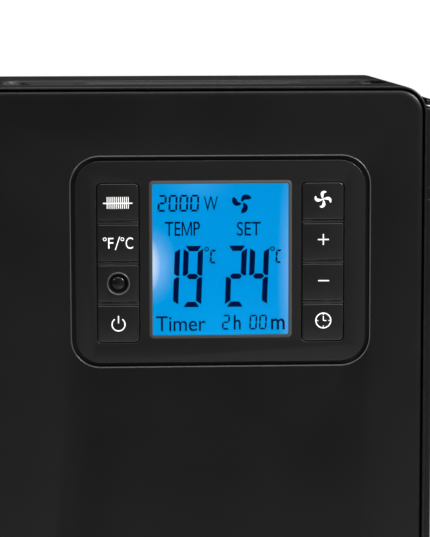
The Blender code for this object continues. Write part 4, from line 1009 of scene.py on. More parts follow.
sections = []
for step in range(6):
    turn = math.pi / 2 * step / 5
    sections.append((HANDLE_EDGE * (1 - math.sin(turn)), handle_low.z + HANDLE_EDGE * (1 - math.cos(turn))))
sections += [(inset, handle_low.z + handle_high.z - z) for inset, z in reversed(sections)]
grip = piece(
    "carry_handle",
    mesh_from("grip", *rings_solid([at(handle_outline(inset), "Z", z) for inset, z in sections])),
    black_plastic,
)
hole = []
for step in range(6):
    turn = math.pi / 2 * step / 5
    hole.append((HANDLE_EDGE * (1 - math.sin(turn)), handle_high.z - HANDLE_EDGE * (1 - math.cos(turn))))
hole += [(flare, handle_low.z + handle_high.z - z) for flare, z in reversed(hole)]
hole = [(hole[0][0] + 0.4, handle_high.z + 0.4), *hole, (hole[-1][0] + 0.4, handle_low.z - 0.4)]
cut_out(grip, rings_solid([
    at(
        rounded(OPENING[0] + 2 * o, OPENING[1] + 2 * o, OPENING[2] + o, (tower_x, handle_y + 1.0), 12), "Z",
        z,
    ) for o, z in hole
]))
smooth(grip.data, 26.0)
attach(grip, "handle")
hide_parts("handle")

# ---------------------------------------------------------------- handle pins
# Two ground steel pins join the handle to the ears of its tray, each with a chamfered end.
for side in ("left", "right"):
    low, high = (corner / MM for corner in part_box(f"handle_pin_{side}"))
    radius = (high.z - low.z) / 2
    outline = (
        (0.01, low.x), (radius - 0.4, low.x), (radius, low.x + 0.4), (radius, high.x - 0.4),
        (radius - 0.4, high.x), (0.01, high.x),
    )
    pin = piece(
        f"hinge_pin_{side}",
        mesh_from("pin", *lathe(outline, "X", ((low.y + high.y) / 2, (low.z + high.z) / 2), 24)),
        plug_steel,
    )
    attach(pin, "heater")
    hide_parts(f"handle_pin_{side}")

# ---------------------------------------------------------------- panel bezel
# The panel's plate is one moulding with softly rounded edges. A bevelled lip stands round the window, and
# a well on each side holds a column of keys. A flange behind it closes the wells and is heat staked.
BEZEL_EDGE = 0.3
BEZEL_DEPTH = 2.6
WINDOW = (60.0, 67.0)
LIP = 1.5
LIP_PROUD = 0.4
WELL_CLEAR = 0.45
STEM_SLOT = (7.0, 6.0)  # the flange lets each key's stem through
KEY_NODES = (
    "key_heat", "key_unit", "ir_tile", "key_power", "key_fan", "key_plus", "key_minus", "key_timer"
)

key_boxes = {node: tuple(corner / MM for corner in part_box(node)) for node in KEY_NODES}
lens_low, lens_high = (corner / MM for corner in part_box("display_lens"))
window_x, window_z = (lens_low.x + lens_high.x) / 2, (lens_low.z + lens_high.z) / 2
bezel_width, bezel_height = PANEL[0] - GROOVE - 0.9, PANEL[1] - GROOVE - 0.9

# The pale edge colour of the panel plate is a painted highlight along its edges and corners.
panel_plastic = finish(
    "panel_black_plastic", (
        0.007, 0.007, 0.0074
    ), 0.3, 3600.0, 0.03, 0.08, 0.04, edge_wear_and_highlight_colour=(0.12, 0.12, 0.122), edge_wear_and_highlight_amount=0.6, dust=0.01,
    specular=0.28, breadth=0.00032,
)
sections = []
for step in range(6):
    turn = math.pi / 2 * step / 5
    sections.append((BEZEL_EDGE * (1 - math.sin(turn)), BEZEL_EDGE * (1 - math.cos(turn))))
sections.append((0.0, BEZEL_DEPTH))
bezel = piece(
    "panel_plate",
    mesh_from("bezel", *rings_solid([
        at(
            rounded(
                bezel_width - 2 * inset, bezel_height - 2 * inset, PANEL[2] - GROOVE / 2 - inset,
                (panel_x, panel_z),
            ),
            "Y", front + back,
        )
        for inset, back in sections
    ])),
    panel_plastic,
)
cut_out(bezel, slab(rounded(*WINDOW, 0.8, (window_x, window_z), 6), "Y", front - 2, front + 4))
for column in (KEY_NODES[:4], KEY_NODES[4:]):
    lows, highs = [key_boxes[node][0] for node in column], [key_boxes[node][1] for node in column]
    wide, tall = highs[0].x - lows[0].x + 2 * WELL_CLEAR, highs[0].z - lows[-1].z + 2 * WELL_CLEAR
    middle = ((lows[0].x + highs[0].x) / 2, (highs[0].z + lows[-1].z) / 2)
    # the wells go right through, and the flange behind is their floor
    cut_out(bezel, flared(wide, tall, 2.5, middle, "Y", front, front + BEZEL_DEPTH + 0.6, 0.22))
smooth(bezel.data, 24.0)
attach(bezel, "heater")
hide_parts("panel_bezel")

back_plate = piece(
    "panel_flange",
    mesh_from(
        "flange",
        *rings_solid(
            [
                at(rounded(PANEL[0] + 10, PANEL[1] + 10, PANEL[2] + 3, (panel_x, panel_z)), "Y", front + y)
                for y in (2.35, 3.8)
            ]
        ),
    ),
    panel_plastic,
)
cut_out(back_plate, slab(rounded(*WINDOW, 0.8, (window_x, window_z), 6), "Y", front - 2, front + 6))
for node in KEY_NODES:
    if node != "ir_tile":
        middle = (
            (key_boxes[node][0].x + key_boxes[node][1].x) / 2,
            (key_boxes[node][0].z + key_boxes[node][1].z) / 2,
        )
        cut_out(back_plate, slab(rounded(*STEM_SLOT, 0.8, middle, 3), "Y", front + 1, front + 6))
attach(back_plate, "heater")

lip_finish = finish(
    "window_lip_plastic", (0.05, 0.05, 0.05), 0.45, 3600.0, 0.02, 0.08, 0.04, dust=0.0, specular=0.1
)
lip_sections = (
    (LIP, 0.4), (LIP, 0.06), (
        LIP - 0.12, 0.0
    ), (0.55, -0.37), (0.4, -LIP_PROUD), (0.12, -0.38), (0.0, -0.26), (0.0, 0.4),
)
lip = piece(
    "window_lip",
    mesh_from(
        "lip",
        *rings_solid(
            [
                at(
                    rounded(
                        WINDOW[0] + 2 * out, WINDOW[1] + 2 * out, 0.8 + out * 0.8, (window_x, window_z), 8
                    ),
                    "Y", front + y,
                )
                for out, y in lip_sections
            ],
            closed=True,
        ),
    ),
    lip_finish, 60.0,
)
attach(lip, "heater")

# ---------------------------------------------------------------- keys
# Seven keys of moulded plastic and one fixed tile fill the two wells. Each has rounded edges, and the
# outer corners of a column follow the well. Every key travels a millimetre on its own spring.
KEY_EDGE = 0.45
KEY_CORNER = 0.75
KEY_PROUD = 0.3  # how far a cap stands out of the panel
CAP_DEPTH = 1.2  # so that a pressed cap stops short of the flange
STEM = (6.0, 5.0)
COLLAR = (8.4, 7.2)
BAR_CLEAR = 0.5  # what a bar between two caps leaves free of their gap
COLUMN_CORNER = 2.1

# The pale edge colour of the keys is a painted highlight: it draws the light lines along their edges and
# the glints at their corners.
key_plastic = finish(
    "key_black_plastic", (
        0.0085, 0.0085, 0.009
    ), 0.2, 3600.0, 0.03, 0.08, 0.04, edge_wear_and_highlight_colour=(0.2, 0.2, 0.205), edge_wear_and_highlight_amount=0.85, dust=0.01,
    specular=0.4, breadth=0.00022,
)


def key_solid(node, first, last):
    low, high = key_boxes[node]
    top = COLUMN_CORNER if first else KEY_CORNER
    bottom = COLUMN_CORNER if last else KEY_CORNER
    rings = []
    for step in range(6):
        turn = math.pi / 2 * step / 5
        inset, back = KEY_EDGE * (1 - math.sin(turn)), KEY_EDGE * (1 - math.cos(turn))
        radii = tuple(r - inset * 0.9 for r in (top, top, bottom, bottom))
        size = (high.x - low.x - 2 * inset, high.z - low.z - 2 * inset)
        face = front - KEY_PROUD
        rings.append(
            at(rounded(*size, radii, ((low.x + high.x) / 2, (low.z + high.z) / 2), 8), "Y", face + back)
        )
    rings.append([(x, front + CAP_DEPTH, z) for x, y, z in rings[-1]])
    return rings_solid(rings)


for number, node in enumerate(KEY_NODES):
    cap = piece(
        f"{node}_cap", mesh_from(node, *key_solid(node, number % 4 == 0, number % 4 == 3)), key_plastic
    )
    body = "heater" if node == "ir_tile" else node
    if node == "ir_tile":
        low, high = key_boxes[node]
        eye_x, eye_z = (low.x + high.x) / 2, (low.z + high.z) / 2
        cut_out(
            cap,
            lathe(
                (
                    (0.01, front - 1), (5.35, front - 1), (5.1, front - 0.28), (4.9, front + 0.1),
                    (4.8, front + 3), (0.01, front + 3),
                ),
                "Y", (eye_x, eye_z), 56,
            ),
        )
    smooth(cap.data, 24.0)
    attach(cap, body)
    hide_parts(node)
    if node != "ir_tile":
        low, high = key_boxes[node]
        x, z = (low.x + high.x) / 2, (low.z + high.z) / 2
        stem = rings_solid(
            [
                at(rounded(STEM[0] - 2 * i, STEM[1] - 2 * i, 0.5, (x, z), 3), "Y", y)
                for i, y in ((0.0, front + 0.9), (0.0, high.y - 0.4), (0.4, high.y))
            ]
        )
        collar = slab(rounded(*COLLAR, 0.4, (x, z), 3), "Y", front + 4.7, front + 5.9)
        foot = piece(f"{node}_stem", mesh_from("stem", *joined(stem, collar)), key_plastic)
        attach(foot, body)

# three bars of the keys' plastic part the caps of a column
upper, lower = key_boxes[KEY_NODES[0]], key_boxes[KEY_NODES[1]]
key_pitch = upper[0].z - lower[0].z
gap_height = upper[0].z - lower[1].z
bars = []
for node in (KEY_NODES[3], KEY_NODES[7]):
    low, high = key_boxes[node]
    x, z = (low.x + high.x) / 2, high.z + gap_height / 2
    tall = gap_height - BAR_CLEAR
    bars.append(rings_solid([
        at(rounded(high.x - low.x - 2 * i, tall - 2 * i, 0.3, (x, z), 4), "Y", front + back)
        for i, back in ((0.28, 0.0), (0.12, 0.05), (0.03, 0.16), (0.0, 0.32), (0.0, 2.4))
    ]))
separators = piece("key_separators", mesh_from("separators", *joined(*bars)), key_plastic)
grown(separators, row_tree, Count=3, Offset=(0.0, 0.0, key_pitch * MM), Finish=key_plastic)
smooth(separators.data, 24.0)
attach(separators, "heater")

# ---------------------------------------------------------------- key symbols
# The symbols are pad printed in white ink, a few hundredths of a millimetre thick: a radiator, the two
# degree units, a power sign, a fan, plus, minus and a clock. Each rides on its own key.
INK = 0.05

glowing_ink = finish("white_key_ink_painted_glow", (0.8, 0.8, 0.79), 0.5, 5000.0, 0.03, 0.03, 0.05, dust=0.0)
# The ink also gives off a faint light of its own, a painted glow that makes the symbols brighter.
glowing_ink.node_tree.nodes["Principled BSDF"].inputs["Emission Color"].default_value = (1.0, 1.0, 0.985, 1.0)
glowing_ink.node_tree.nodes["Principled BSDF"].inputs["Emission Strength"].default_value = 0.3


def flat_shape(outlines, face, thickness=INK, back=0.02):
    """Flat outlines given as (x, z) loops, raised a little off a face that looks along -Y."""
    solids = []
    for outline in outlines:
        solids.append(rings_solid([at(outline, "Y", face + back), at(outline, "Y", face - thickness)]))
    return joined(*solids)


def bar(x, z, width, height):
    return [
        (x + width / 2, z + height / 2), (x - width / 2, z + height / 2), (x - width / 2, z - height / 2),
        (x + width / 2, z - height / 2),
    ]


def stroke(points, width, closed=False):
    """A line of even width along points, as one loop of quads for an open line."""
    left, right = [], []
    count = len(points)
    for index, (x, z) in enumerate(points):
        before = points[index - 1] if index or closed else points[index]
        after = points[(index + 1) % count] if index < count - 1 or closed else points[index]
        along = Vector((after[0] - before[0], after[1] - before[1])).normalized()
        across = Vector((-along.y, along.x)) * width / 2
        left.append((x + across.x, z + across.y))
        right.append((x - across.x, z - across.y))
    if not closed:
        return [left + right[::-1]]
    pieces = []
    for index in range(count):
        after = (index + 1) % count
        pieces.append([left[index], left[after], right[after], right[index]])
    return pieces


def arc(x, z, radius, start, end, steps=24):
    """Points on a circle, with angles in degrees clockwise from the top."""
    points = []
    for step in range(steps + 1):
        angle = math.radians(start + (end - start) * step / steps)
        points.append((x + radius * math.sin(angle), z + radius * math.cos(angle)))
    return points


def ring_shape(x, z, radius, width, steps=40):
    """A whole ring as two half strokes."""
    return stroke(arc(x, z, radius, 0, 180, steps // 2), width) + stroke(
        arc(x, z, radius, 180, 360, steps // 2), width
    )


def blades(x, z, radius, count, turn, width, hook=62.0, bend=1.3, taper=0.15):
    """Fan blades that rise from the hub and hook round clockwise, each as one loop."""
    loops = []
    for number in range(count):
        left, right = [], []
        for step in range(13):
            share = step / 12
            reach = radius * (0.15 + 0.85 * math.sin(math.pi / 2 * share))
            sweep = math.radians(turn + 360 / count * number + hook * share**bend)
            half = width * min(1.0, 0.35 + 1.6 * share) * (1 - taper * share**3)
            slope = Vector((math.sin(sweep), math.cos(sweep)))
            way = math.radians(hook) * bend * share ** (bend - 1) * reach
            along = slope * radius * 0.85 * math.pi / 2 * math.cos(math.pi / 2 * share)
            along = (along + Vector((slope.y, -slope.x)) * way).normalized()
            u, v = x + reach * slope.x, z + reach * slope.y
            left.append((u - along.y * half, v + along.x * half))
            right.append((u + along.y * half, v - along.x * half))
        loops.append(left + right[::-1])
    return loops


def glyphs(text, x, z, width, height, weight=0.0):
    """The outlines of a short word as a flat mesh's loops, fitted to a box whose lower left is (x, z)."""
    curve = bpy.data.curves.new("word", "FONT")
    curve.body = text
    curve.offset = weight
    curve.resolution_u = 5
    holder = bpy.data.objects.new("word", curve)
    bpy.context.scene.collection.objects.link(holder)
    bpy.context.view_layer.update()
    mesh = bpy.data.meshes.new_from_object(holder.evaluated_get(bpy.context.evaluated_depsgraph_get()))
    bpy.data.objects.remove(holder, do_unlink=True)
    us, vs = [v.co.x for v in mesh.vertices], [v.co.y for v in mesh.vertices]
    across, up = width / (max(us) - min(us)), height / (max(vs) - min(vs))
    points = [(x + (v.co.x - min(us)) * across, z + (v.co.y - min(vs)) * up) for v in mesh.vertices]
    return [[points[index] for index in face.vertices] for face in mesh.polygons]


def letter_m(x, z, width, height, stem):
    """A capital M as one loop."""
    half = [(0.0, 0.0), (0.0, height), (stem * 1.25, height), (width / 2, stem * 1.6)]
    inner = [(width / 2 - stem * 0.35, 0.0), (stem, height - stem * 2.6), (stem, 0.0)]
    loop = half + [
        (width - u, v) for u, v in half[-2::-1]
    ] + [(width - u, v) for u, v in inner[::-1]] + inner
    return [[(x + u, z + v) for u, v in loop]]


def symbol(name, loops, node, material=glowing_ink):
    mesh = mesh_from(name, *flat_shape(loops, front - KEY_PROUD))
    made = piece(name, mesh, material, 20.0)
    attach(made, node)
    return made


def key_centre(node):
    low, high = key_boxes[node]
    return (low.x + high.x) / 2, (low.z + high.z) / 2


LINE = 0.5

x, z = key_centre("key_heat")
radiator_sign = [bar(x, z - 0.45, 12.9, LINE)]
radiator_sign += [bar(x + (step - 5.5) * 0.84, z - 0.25, 0.32, 5.2) for step in range(12)]
symbol("symbol_radiator", radiator_sign, "key_heat")

x, z = key_centre("key_unit")
units = ring_shape(x - 5.8, z + 1.7, 0.66, 0.3, 24)
units += glyphs("F", x - 4.3, z - 2.4, 2.3, 4.7, -0.006)
units += stroke([(x - 1.2, z - 3.0), (x + 0.75, z + 2.8)], 0.4)
units += ring_shape(x + 1.95, z + 1.7, 0.66, 0.3, 24)
units += glyphs("C", x + 3.4, z - 2.55, 3.2, 5.0, -0.006)
symbol("symbol_units", units, "key_unit")

x, z = key_centre("key_power")
power = stroke(arc(x, z - 0.15, 2.85, 36, 324, 40), LINE)
power += [bar(x, z + 2.0, LINE, 3.3)]
symbol("symbol_power", power, "key_power")

x, z = key_centre("key_fan")
symbol(
    "symbol_fan",
    blades(x, z + 0.75, 3.45, 4, -16, 0.72, 40.0, 2.0, 0.7) + [arc(x, z + 0.75, 0.36, 0, 345, 23)],
    "key_fan",
)

x, z = key_centre("key_plus")
plus = [bar(x + 0.2, z + 0.9, 4.8, LINE)]
plus += [bar(x + 0.2, z + 0.9 + side * (2.4 + LINE / 2) / 2, LINE, 2.4 - LINE / 2) for side in (-1, 1)]
symbol("symbol_plus", plus, "key_plus")
x, z = key_centre("key_minus")
symbol("symbol_minus", [bar(x + 0.4, z + 0.6, 4.8, LINE)], "key_minus")

x, z = key_centre("key_timer")
x, z = x + 0.3, z + 0.8
clock = ring_shape(x, z, 3.3, 0.5, 56)
clock += [bar(x, z + 0.95, 0.38, 2.0), bar(x + 0.75, z - 0.05, 1.2, 0.38)]
clock += [
    bar(x - 2.6, z, 0.7, 0.32), bar(x + 2.6, z, 0.7, 0.32), bar(x, z - 2.6, 0.32, 0.7),
    bar(x, z + 2.65, 0.32, 0.6),
]
symbol("symbol_clock", clock, "key_timer")

# ---------------------------------------------------------------- remote control eye
# A dark moulded dome, clear to infrared light, sits in a round hole in the third tile, inside a thin
# raised ring. It passes the remote control's signal to the receiver behind.
eye_glass = finish(
    "smoked_eye_plastic", (0.006, 0.005, 0.006), 0.12, 900.0, 0.0, 0.1, 0.02, dust=0.0, specular=0.22
)
DOME = 3.2

dome = [(0.01, front - 0.35)]
for step in range(1, 9):
    turn = math.radians(75 * step / 8)
    dome.append(
        (DOME * math.sin(turn) / math.sin(math.radians(75)), front - 0.35 + 1.5 * (1 - math.cos(turn)))
    )
dome += [
    (3.4, front + 0.95), (3.9, front + 0.5), (4.2, front + 0.05), (4.3, front + 2.6), (0.01, front + 2.6)
]
eye = piece("remote_eye", mesh_from("eye", *lathe(dome, "Y", (eye_x, eye_z), 56)), eye_glass, 60.0)
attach(eye, "heater")
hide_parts("ir_lens")
rim = [
    (5.1, front + 0.4), (5.15, front - 0.3), (5.0, front - 0.55), (4.8, front - 0.64), (4.6, front - 0.55),
    (4.35, front - 0.1), (4.3, front + 0.5),
]
# The ring wears the ridge's pale paint, a painted highlight along its edge.
eye_rim = piece(
    "remote_eye_ring", mesh_from("eye_ring", *lathe(rim, "Y", (eye_x, eye_z), 56, closed=True)),
    ridge_pale_highlight_paint, 60.0,
)
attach(eye_rim, "heater")

# ---------------------------------------------------------------- display
# A clear acrylic pane covers a liquid crystal cell. Its dark segments stand in front of a blue backlight,
# which is brightest beside the lamp at the left edge and a little paler down the right edge.
PANE = 1.0
PANE_FRONT = 0.18

pane_finish = bpy.data.materials.new("clear_acrylic")
pane_finish.use_nodes = True
shader = pane_finish.node_tree.nodes["Principled BSDF"]
shader.inputs["Transmission Weight"].default_value = 1.0
shader.inputs["IOR"].default_value = 1.12
place = pane_finish.node_tree.nodes.new("ShaderNodeTexCoord")
haze = shaped(pane_finish.node_tree.nodes, "ShaderNodeTexNoise", {"Scale": 60.0})
pane_finish.node_tree.links.new(place.outputs["Object"], haze.inputs["Vector"])
spread = shaped(pane_finish.node_tree.nodes, "ShaderNodeMapRange", {"To Min": 0.03, "To Max": 0.07})
pane_finish.node_tree.links.new(haze.outputs["Fac"], spread.inputs["Value"])
pane_finish.node_tree.links.new(spread.outputs["Result"], shader.inputs["Roughness"])
tint = shaped(
    pane_finish.node_tree.nodes, "ShaderNodeMix", {"A": (0.985, 0.99, 1.0, 1.0), "B": (1.0, 1.0, 1.0, 1.0)},
    data_type="RGBA",
)
pane_finish.node_tree.links.new(haze.outputs["Fac"], tint.inputs["Factor"])
pane_finish.node_tree.links.new(tint.outputs["Result"], shader.inputs["Base Color"])
pane_rings = [
    (0.25, PANE_FRONT), (0.1, PANE_FRONT + 0.05), (0.0, PANE_FRONT + 0.2), (0.0, PANE_FRONT + PANE)
]
pane = piece(
    "display_pane",
    mesh_from(
        "pane",
        *rings_solid(
            [
                at(
                    rounded(WINDOW[0] - 0.1 - 2 * i, WINDOW[1] - 0.1 - 2 * i, 0.7, (window_x, window_z), 6),
                    "Y", front + y,
                )
                for i, y in pane_rings
            ]
        ),
    ),
    pane_finish,
)
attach(pane, "heater")
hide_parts("display_lens")

lit = bpy.data.materials.new("blue_backlit_cell")
lit.use_nodes = True
nodes, links = lit.node_tree.nodes, lit.node_tree.links
shader = nodes["Principled BSDF"]
shader.inputs["Roughness"].default_value = 0.8
shader.inputs["Specular IOR Level"].default_value = 0.0
shader.inputs["Emission Strength"].default_value = 1.0
place = nodes.new("ShaderNodeTexCoord")


def spot_mask(x, z, stretch, reach, power):
    """How near a point of the cell is to (x, z), from 1 there to 0 at reach millimetres away."""
    moved = shaped(
        nodes, "ShaderNodeMapping",
        {
            "Location": (-x * MM * stretch[0], 0.0, -z * MM * stretch[1]),
            "Scale": (stretch[0], 0.0, stretch[1]), "Vector": place.outputs["Object"],
        },
    )
    far = shaped(nodes, "ShaderNodeVectorMath", {0: moved.outputs["Vector"]}, operation="LENGTH")
    near = shaped(
        nodes, "ShaderNodeMapRange",
        {"From Max": reach * MM, "To Min": 1.0, "To Max": 0.0, "Value": far.outputs["Value"]},
    )
    curve = shaped(nodes, "ShaderNodeMath", {1: power, 0: near.outputs["Result"]}, operation="POWER")
    return curve.outputs["Value"]


def layer(factor, below, colour, amount):
    scaled = shaped(nodes, "ShaderNodeMath", {1: amount, 0: factor}, operation="MULTIPLY")
    mix = shaped(nodes, "ShaderNodeMix", {"Factor": scaled.outputs["Value"]}, data_type="RGBA")
    if isinstance(below, tuple):
        mix.inputs["A"].default_value = (*below, 1.0)
    else:
        links.new(below, mix.inputs["A"])
    mix.inputs["B"].default_value = (*colour, 1.0)
    return mix.outputs["Result"]


cell_left, cell_right = window_x - WINDOW[0] / 2, window_x + WINDOW[0] / 2
cloud = shaped(
    nodes, "ShaderNodeTexNoise", {"Scale": 45.0, "Detail": 3.0, "Vector": place.outputs["Object"]}
)
shade = layer(cloud.outputs["Fac"], (0.0, 0.285, 0.7), (0.0, 0.31, 0.745), 1.0)
shade = layer(
    spot_mask(cell_left + 26.0, window_z - 30.0, (0.6, 1.0), 24.0, 1.2), shade, (0.0, 0.36, 0.78), 0.5
)
shade = layer(
    spot_mask(cell_right + 1.0, window_z - 6.0, (1.0, 0.12), 6.2, 1.3), shade, (0.16, 0.44, 0.88), 1.0
)
shade = layer(
    spot_mask(cell_left + 20.0, window_z + WINDOW[1] / 2, (0.5, 1.0), 9.0, 1.5), shade, (0.05, 0.40, 0.86),
    0.6,
)
shade = layer(
    spot_mask(cell_left - 2.0, window_z - 2.6, (1.0, 0.72), 13.5, 1.5), shade, (0.36, 0.62, 1.0), 1.0
)
shade = layer(
    spot_mask(cell_left - 1.0, window_z - 2.6, (1.0, 0.36), 4.4, 0.8), shade, (0.95, 0.98, 1.0), 0.6
)
links.new(shade, shader.inputs["Emission Color"])
dim = shaped(
    nodes, "ShaderNodeMix", {"Factor": 0.97, "A": shade, "B": (0.0, 0.0, 0.0, 1.0)}, data_type="RGBA"
)
links.new(dim.outputs["Result"], shader.inputs["Base Color"])
CELL_FRONT = PANE_FRONT + PANE + 0.12
cell = piece(
    "display_cell",
    mesh_from(
        "cell",
        *rings_solid(
            [
                at(
                    rounded(WINDOW[0] - 0.06, WINDOW[1] - 0.06, 0.7, (window_x, window_z), 6), "Y",
                    front + y,
                )
                for y in (CELL_FRONT, CELL_FRONT + 1.4)
            ]
        ),
    ),
    lit,
)
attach(cell, "heater")
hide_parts("lcd_cell")

# ---------------------------------------------------------------- display segments
# The liquid crystal turns dark in the shape of its electrodes: seven-segment figures that lean a little,
# a few fixed words and signs, and a small fan.
SEGMENT_FACE = front + CELL_FRONT
segment_ink = finish(
    "dark_liquid_crystal", (0.001, 0.003, 0.018), 0.6, 4000.0, 0.0, 0.25, 0.05, dust=0.0, specular=0.0
)
# The faint blue emission of the dark segments is a painted glow, standing for the backlight that shows
# through them.
segment_ink.node_tree.nodes["Principled BSDF"].inputs["Emission Color"].default_value = (
    0.0, 0.0018, 0.03, 1.0
)
segment_ink.node_tree.nodes["Principled BSDF"].inputs["Emission Strength"].default_value = 1.0
FIGURES = {"0": "abcdef", "1": "bc", "2": "abged", "4": "fgbc", "9": "abcdfg", "C": "adef"}


def figure(sign, x, z, width, height, thick, lean, gap):
    """The lit segments of one figure. (x, z) is its lower left corner and lean its shift at the top."""
    t, g = thick, gap
    w, h = width, height
    m = h / 2
    shapes = {
        "a": [(g + t * 0.2, h), (w - g - t * 0.2, h), (w - t - g * 0.2, h - t), (t + g * 0.2, h - t)],
        "d": [(g + t * 0.2, 0), (w - g - t * 0.2, 0), (w - t - g * 0.2, t), (t + g * 0.2, t)],
        "g": [
            (t * 0.55 + g, m), (t + g, m + t / 2), (w - t - g, m + t / 2), (w - t * 0.55 - g, m),
            (w - t - g, m - t / 2), (t + g, m - t / 2),
        ],
        "f": [
            (0, h - g - t * 0.35), (t, h - t - g), (t, m + t * 0.5 + g * 0.4), (t * 0.5, m + g * 0.8),
            (0, m + g),
        ],
        "e": [
            (0, g + t * 0.35), (t, t + g), (t, m - t * 0.5 - g * 0.4), (t * 0.5, m - g * 0.8), (0, m - g)
        ],
    }
    shapes["b"] = [(w - u, v) for u, v in shapes["f"]]
    shapes["c"] = [(w - u, v) for u, v in shapes["e"]]
    loops = []
    for key in FIGURES[sign]:
        loops.append([(x + u + lean * v / h, z + v) for u, v in shapes[key]])
    return loops


shapes = []
for number, sign in enumerate("2000"):
    shapes += figure(sign, 159.1 + 4.75 * number, 575.3, 3.85, 7.45, 0.92, 0.35, 0.22)
shapes += glyphs("W", 179.5, 575.5, 6.2, 6.5, -0.002)
shapes += blades(196.3, 579.1, 3.7, 3, 3, 1.15)
shapes += glyphs("TE", 162.4, 564.65, 6.8, 6.25, 0.004) + letter_m(169.7, 564.65, 4.6, 6.25, 0.62)
shapes += glyphs("P", 174.9, 564.65, 2.9, 6.25, 0.004)
shapes += glyphs("SET", 194.0, 564.5, 10.6, 6.2, 0.004)
for sign, x, width in (("1", 159.05, 9.0), ("9", 169.5, 8.7), ("2", 188.6, 8.9), ("4", 198.8, 8.5)):
    shapes += figure(sign, x, 533.0, width, 27.2, 2.4, 1.1, 0.4)
for x in (180.7, 209.7):
    shapes += ring_shape(x, 558.7, 0.8, 0.5, 24)
shapes += figure("C", 182.0, 552.3, 3.0, 6.1, 0.86, 0.3, 0.18)
shapes += figure("C", 211.0, 552.3, 2.8, 6.0, 0.86, 0.3, 0.18)
shapes += glyphs("Timer", 158.3, 522.3, 21.9, 6.8, 0.004)
shapes += figure("2", 187.3, 522.8, 3.4, 6.7, 0.78, 0.35, 0.2)
shapes += glyphs("h", 192.6, 522.8, 3.1, 6.6, 0.012)
for x in (199.35, 203.65):
    shapes += figure("0", x, 522.8, 3.4, 6.6, 0.78, 0.35, 0.2)
shapes += glyphs("m", 209.1, 522.7, 6.1, 4.9, 0.012)
segments = piece(
    "display_segments", mesh_from("segments", *flat_shape(shapes, SEGMENT_FACE, 0.04, -0.01)), segment_ink,
    20.0,
)
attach(segments, "heater")

# ---------------------------------------------------------------- backlight and boards
# Behind the cell lie its diffuser of white acrylic and a green board with seven key switches. A second
# board, with relays, hangs on pins of the rear cover. Boards show their copper under the varnish.
diffuser = finish("diffuser_acrylic", (0.78, 0.79, 0.8), 0.35, 500.0, 0.02, 0.03, 0.05, dust=0.0)
board = finish(
    "green_circuit_board", (0.012, 0.11, 0.045), 0.35, 700.0, 0.25, 0.45, 0.1, edge_wear_and_highlight_colour=(0.55, 0.38, 0.16),
    edge_wear_and_highlight_amount=0.8, dust=0.02,
)
for node, material in (("backlight", diffuser), ("control_board", board), ("power_board", board)):
    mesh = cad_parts[node].data
    mesh.materials.clear()
    mesh.materials.append(material)
# ---------------------------------------------------------------- outlet grille
# One moulding of black plastic fills the opening for warm air. Eight louvres slope up and inwards between
# the sides of its frame, and a flange behind the cover holds it.
GRILLE_BORDER = 5.0
LOUVRES = 8
LOUVRE_PITCH = 10.0


def stadium(start, end, half, steps=5):
    """Outline of a flat bar with round ends, from start to end."""
    lean = math.atan2(end[1] - start[1], end[0] - start[0])
    outline = []
    for (u, v), first in ((end, lean - math.pi / 2), (start, lean + math.pi / 2)):
        outline += [
            (
                u + half * math.cos(first + math.pi * step / steps),
                v + half * math.sin(first + math.pi * step / steps),
            )
            for step in range(steps + 1)
        ]
    return outline


grille_width, grille_height = OUTLET[0] - 0.8, OUTLET[1] - 0.8
frame_sections = [
    (0.6, 0.0), (0.17, 0.14), (0.0, 0.6), (0.0, 2.3), (-4.0, 2.3), (-4.0, 3.9), (0.0, 3.9), (0.0, 9.0)
]
frame_sections += [
    (GRILLE_BORDER - inset, back) for inset, back in ((0.0, 9.0), (0.0, 0.6), (0.17, 0.14), (0.6, 0.0))
]
frame_rings = [
    at(
        rounded(
            grille_width - 2 * inset, grille_height - 2 * inset, max(5.6 - inset, 0.9), (tower_x, outlet_z),
            8,
        ),
        "Y", front + back,
    )
    for inset, back in frame_sections
]
grille_frame = piece(
    "grille_frame", mesh_from("grille_frame", *rings_solid(frame_rings, closed=True)), black_plastic
)
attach(grille_frame, "heater")
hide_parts("outlet_grille")

lowest = outlet_z - (LOUVRES - 1) / 2 * LOUVRE_PITCH
blade_line = stadium((front + 1.45, lowest - 1.35), (front + 7.2, lowest + 1.3), 0.85)
reach = grille_width / 2 - 3.0
louvres = piece(
    "grille_louvres",
    mesh_from("louvre", *rings_solid([at(blade_line, "X", tower_x + side * reach) for side in (-1, 1)])),
    black_plastic,
)
grown(louvres, row_tree, Count=LOUVRES, Offset=(0.0, 0.0, LOUVRE_PITCH * MM), Finish=black_plastic)
smooth(louvres.data, 40.0)
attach(louvres, "heater")

# ---------------------------------------------------------------- ceramic heater block
# Behind the louvres a frame of aluminium holds eight folded strips, glued to ceramic stones between them.
# The strips give their heat to the air that the fan blows through.
STRIP_PITCH = 13.0
STRIP_FOLDS = 40

ceramic = finish("fired_ceramic", (0.5, 0.47, 0.42), 0.7, 500.0, 0.2, 0.2, 0.1, dust=0.05)
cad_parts["ptc_heater"].data.materials.clear()
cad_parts["ptc_heater"].data.materials.append(ceramic)
aluminium = finish(
    "rolled_aluminium", (0.72, 0.72, 0.73), 0.36, 800.0, 0.06, 0.08, 0.1, metallic=1.0, dust=0.0
)
block_low, block_high = (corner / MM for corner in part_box("ptc_heater"))
strip_x = tower_x - 3.5 * STRIP_PITCH
zigzag = []
for fold in range(STRIP_FOLDS + 1):
    zigzag.append((strip_x + (4.3 if fold % 2 else -4.3), outlet_z - 33.5 + 67.0 * fold / STRIP_FOLDS))
ribbon = zigzag + [(x, z + 0.35) for x, z in reversed(zigzag)]
points, faces = [], []
for y in (block_low.y + 1.0, block_high.y - 1.0):
    points += at(ribbon, "Y", y)
total_points = len(ribbon)
for step in range(total_points):
    after = (step + 1) % total_points
    faces.append((step, after, total_points + after, total_points + step))
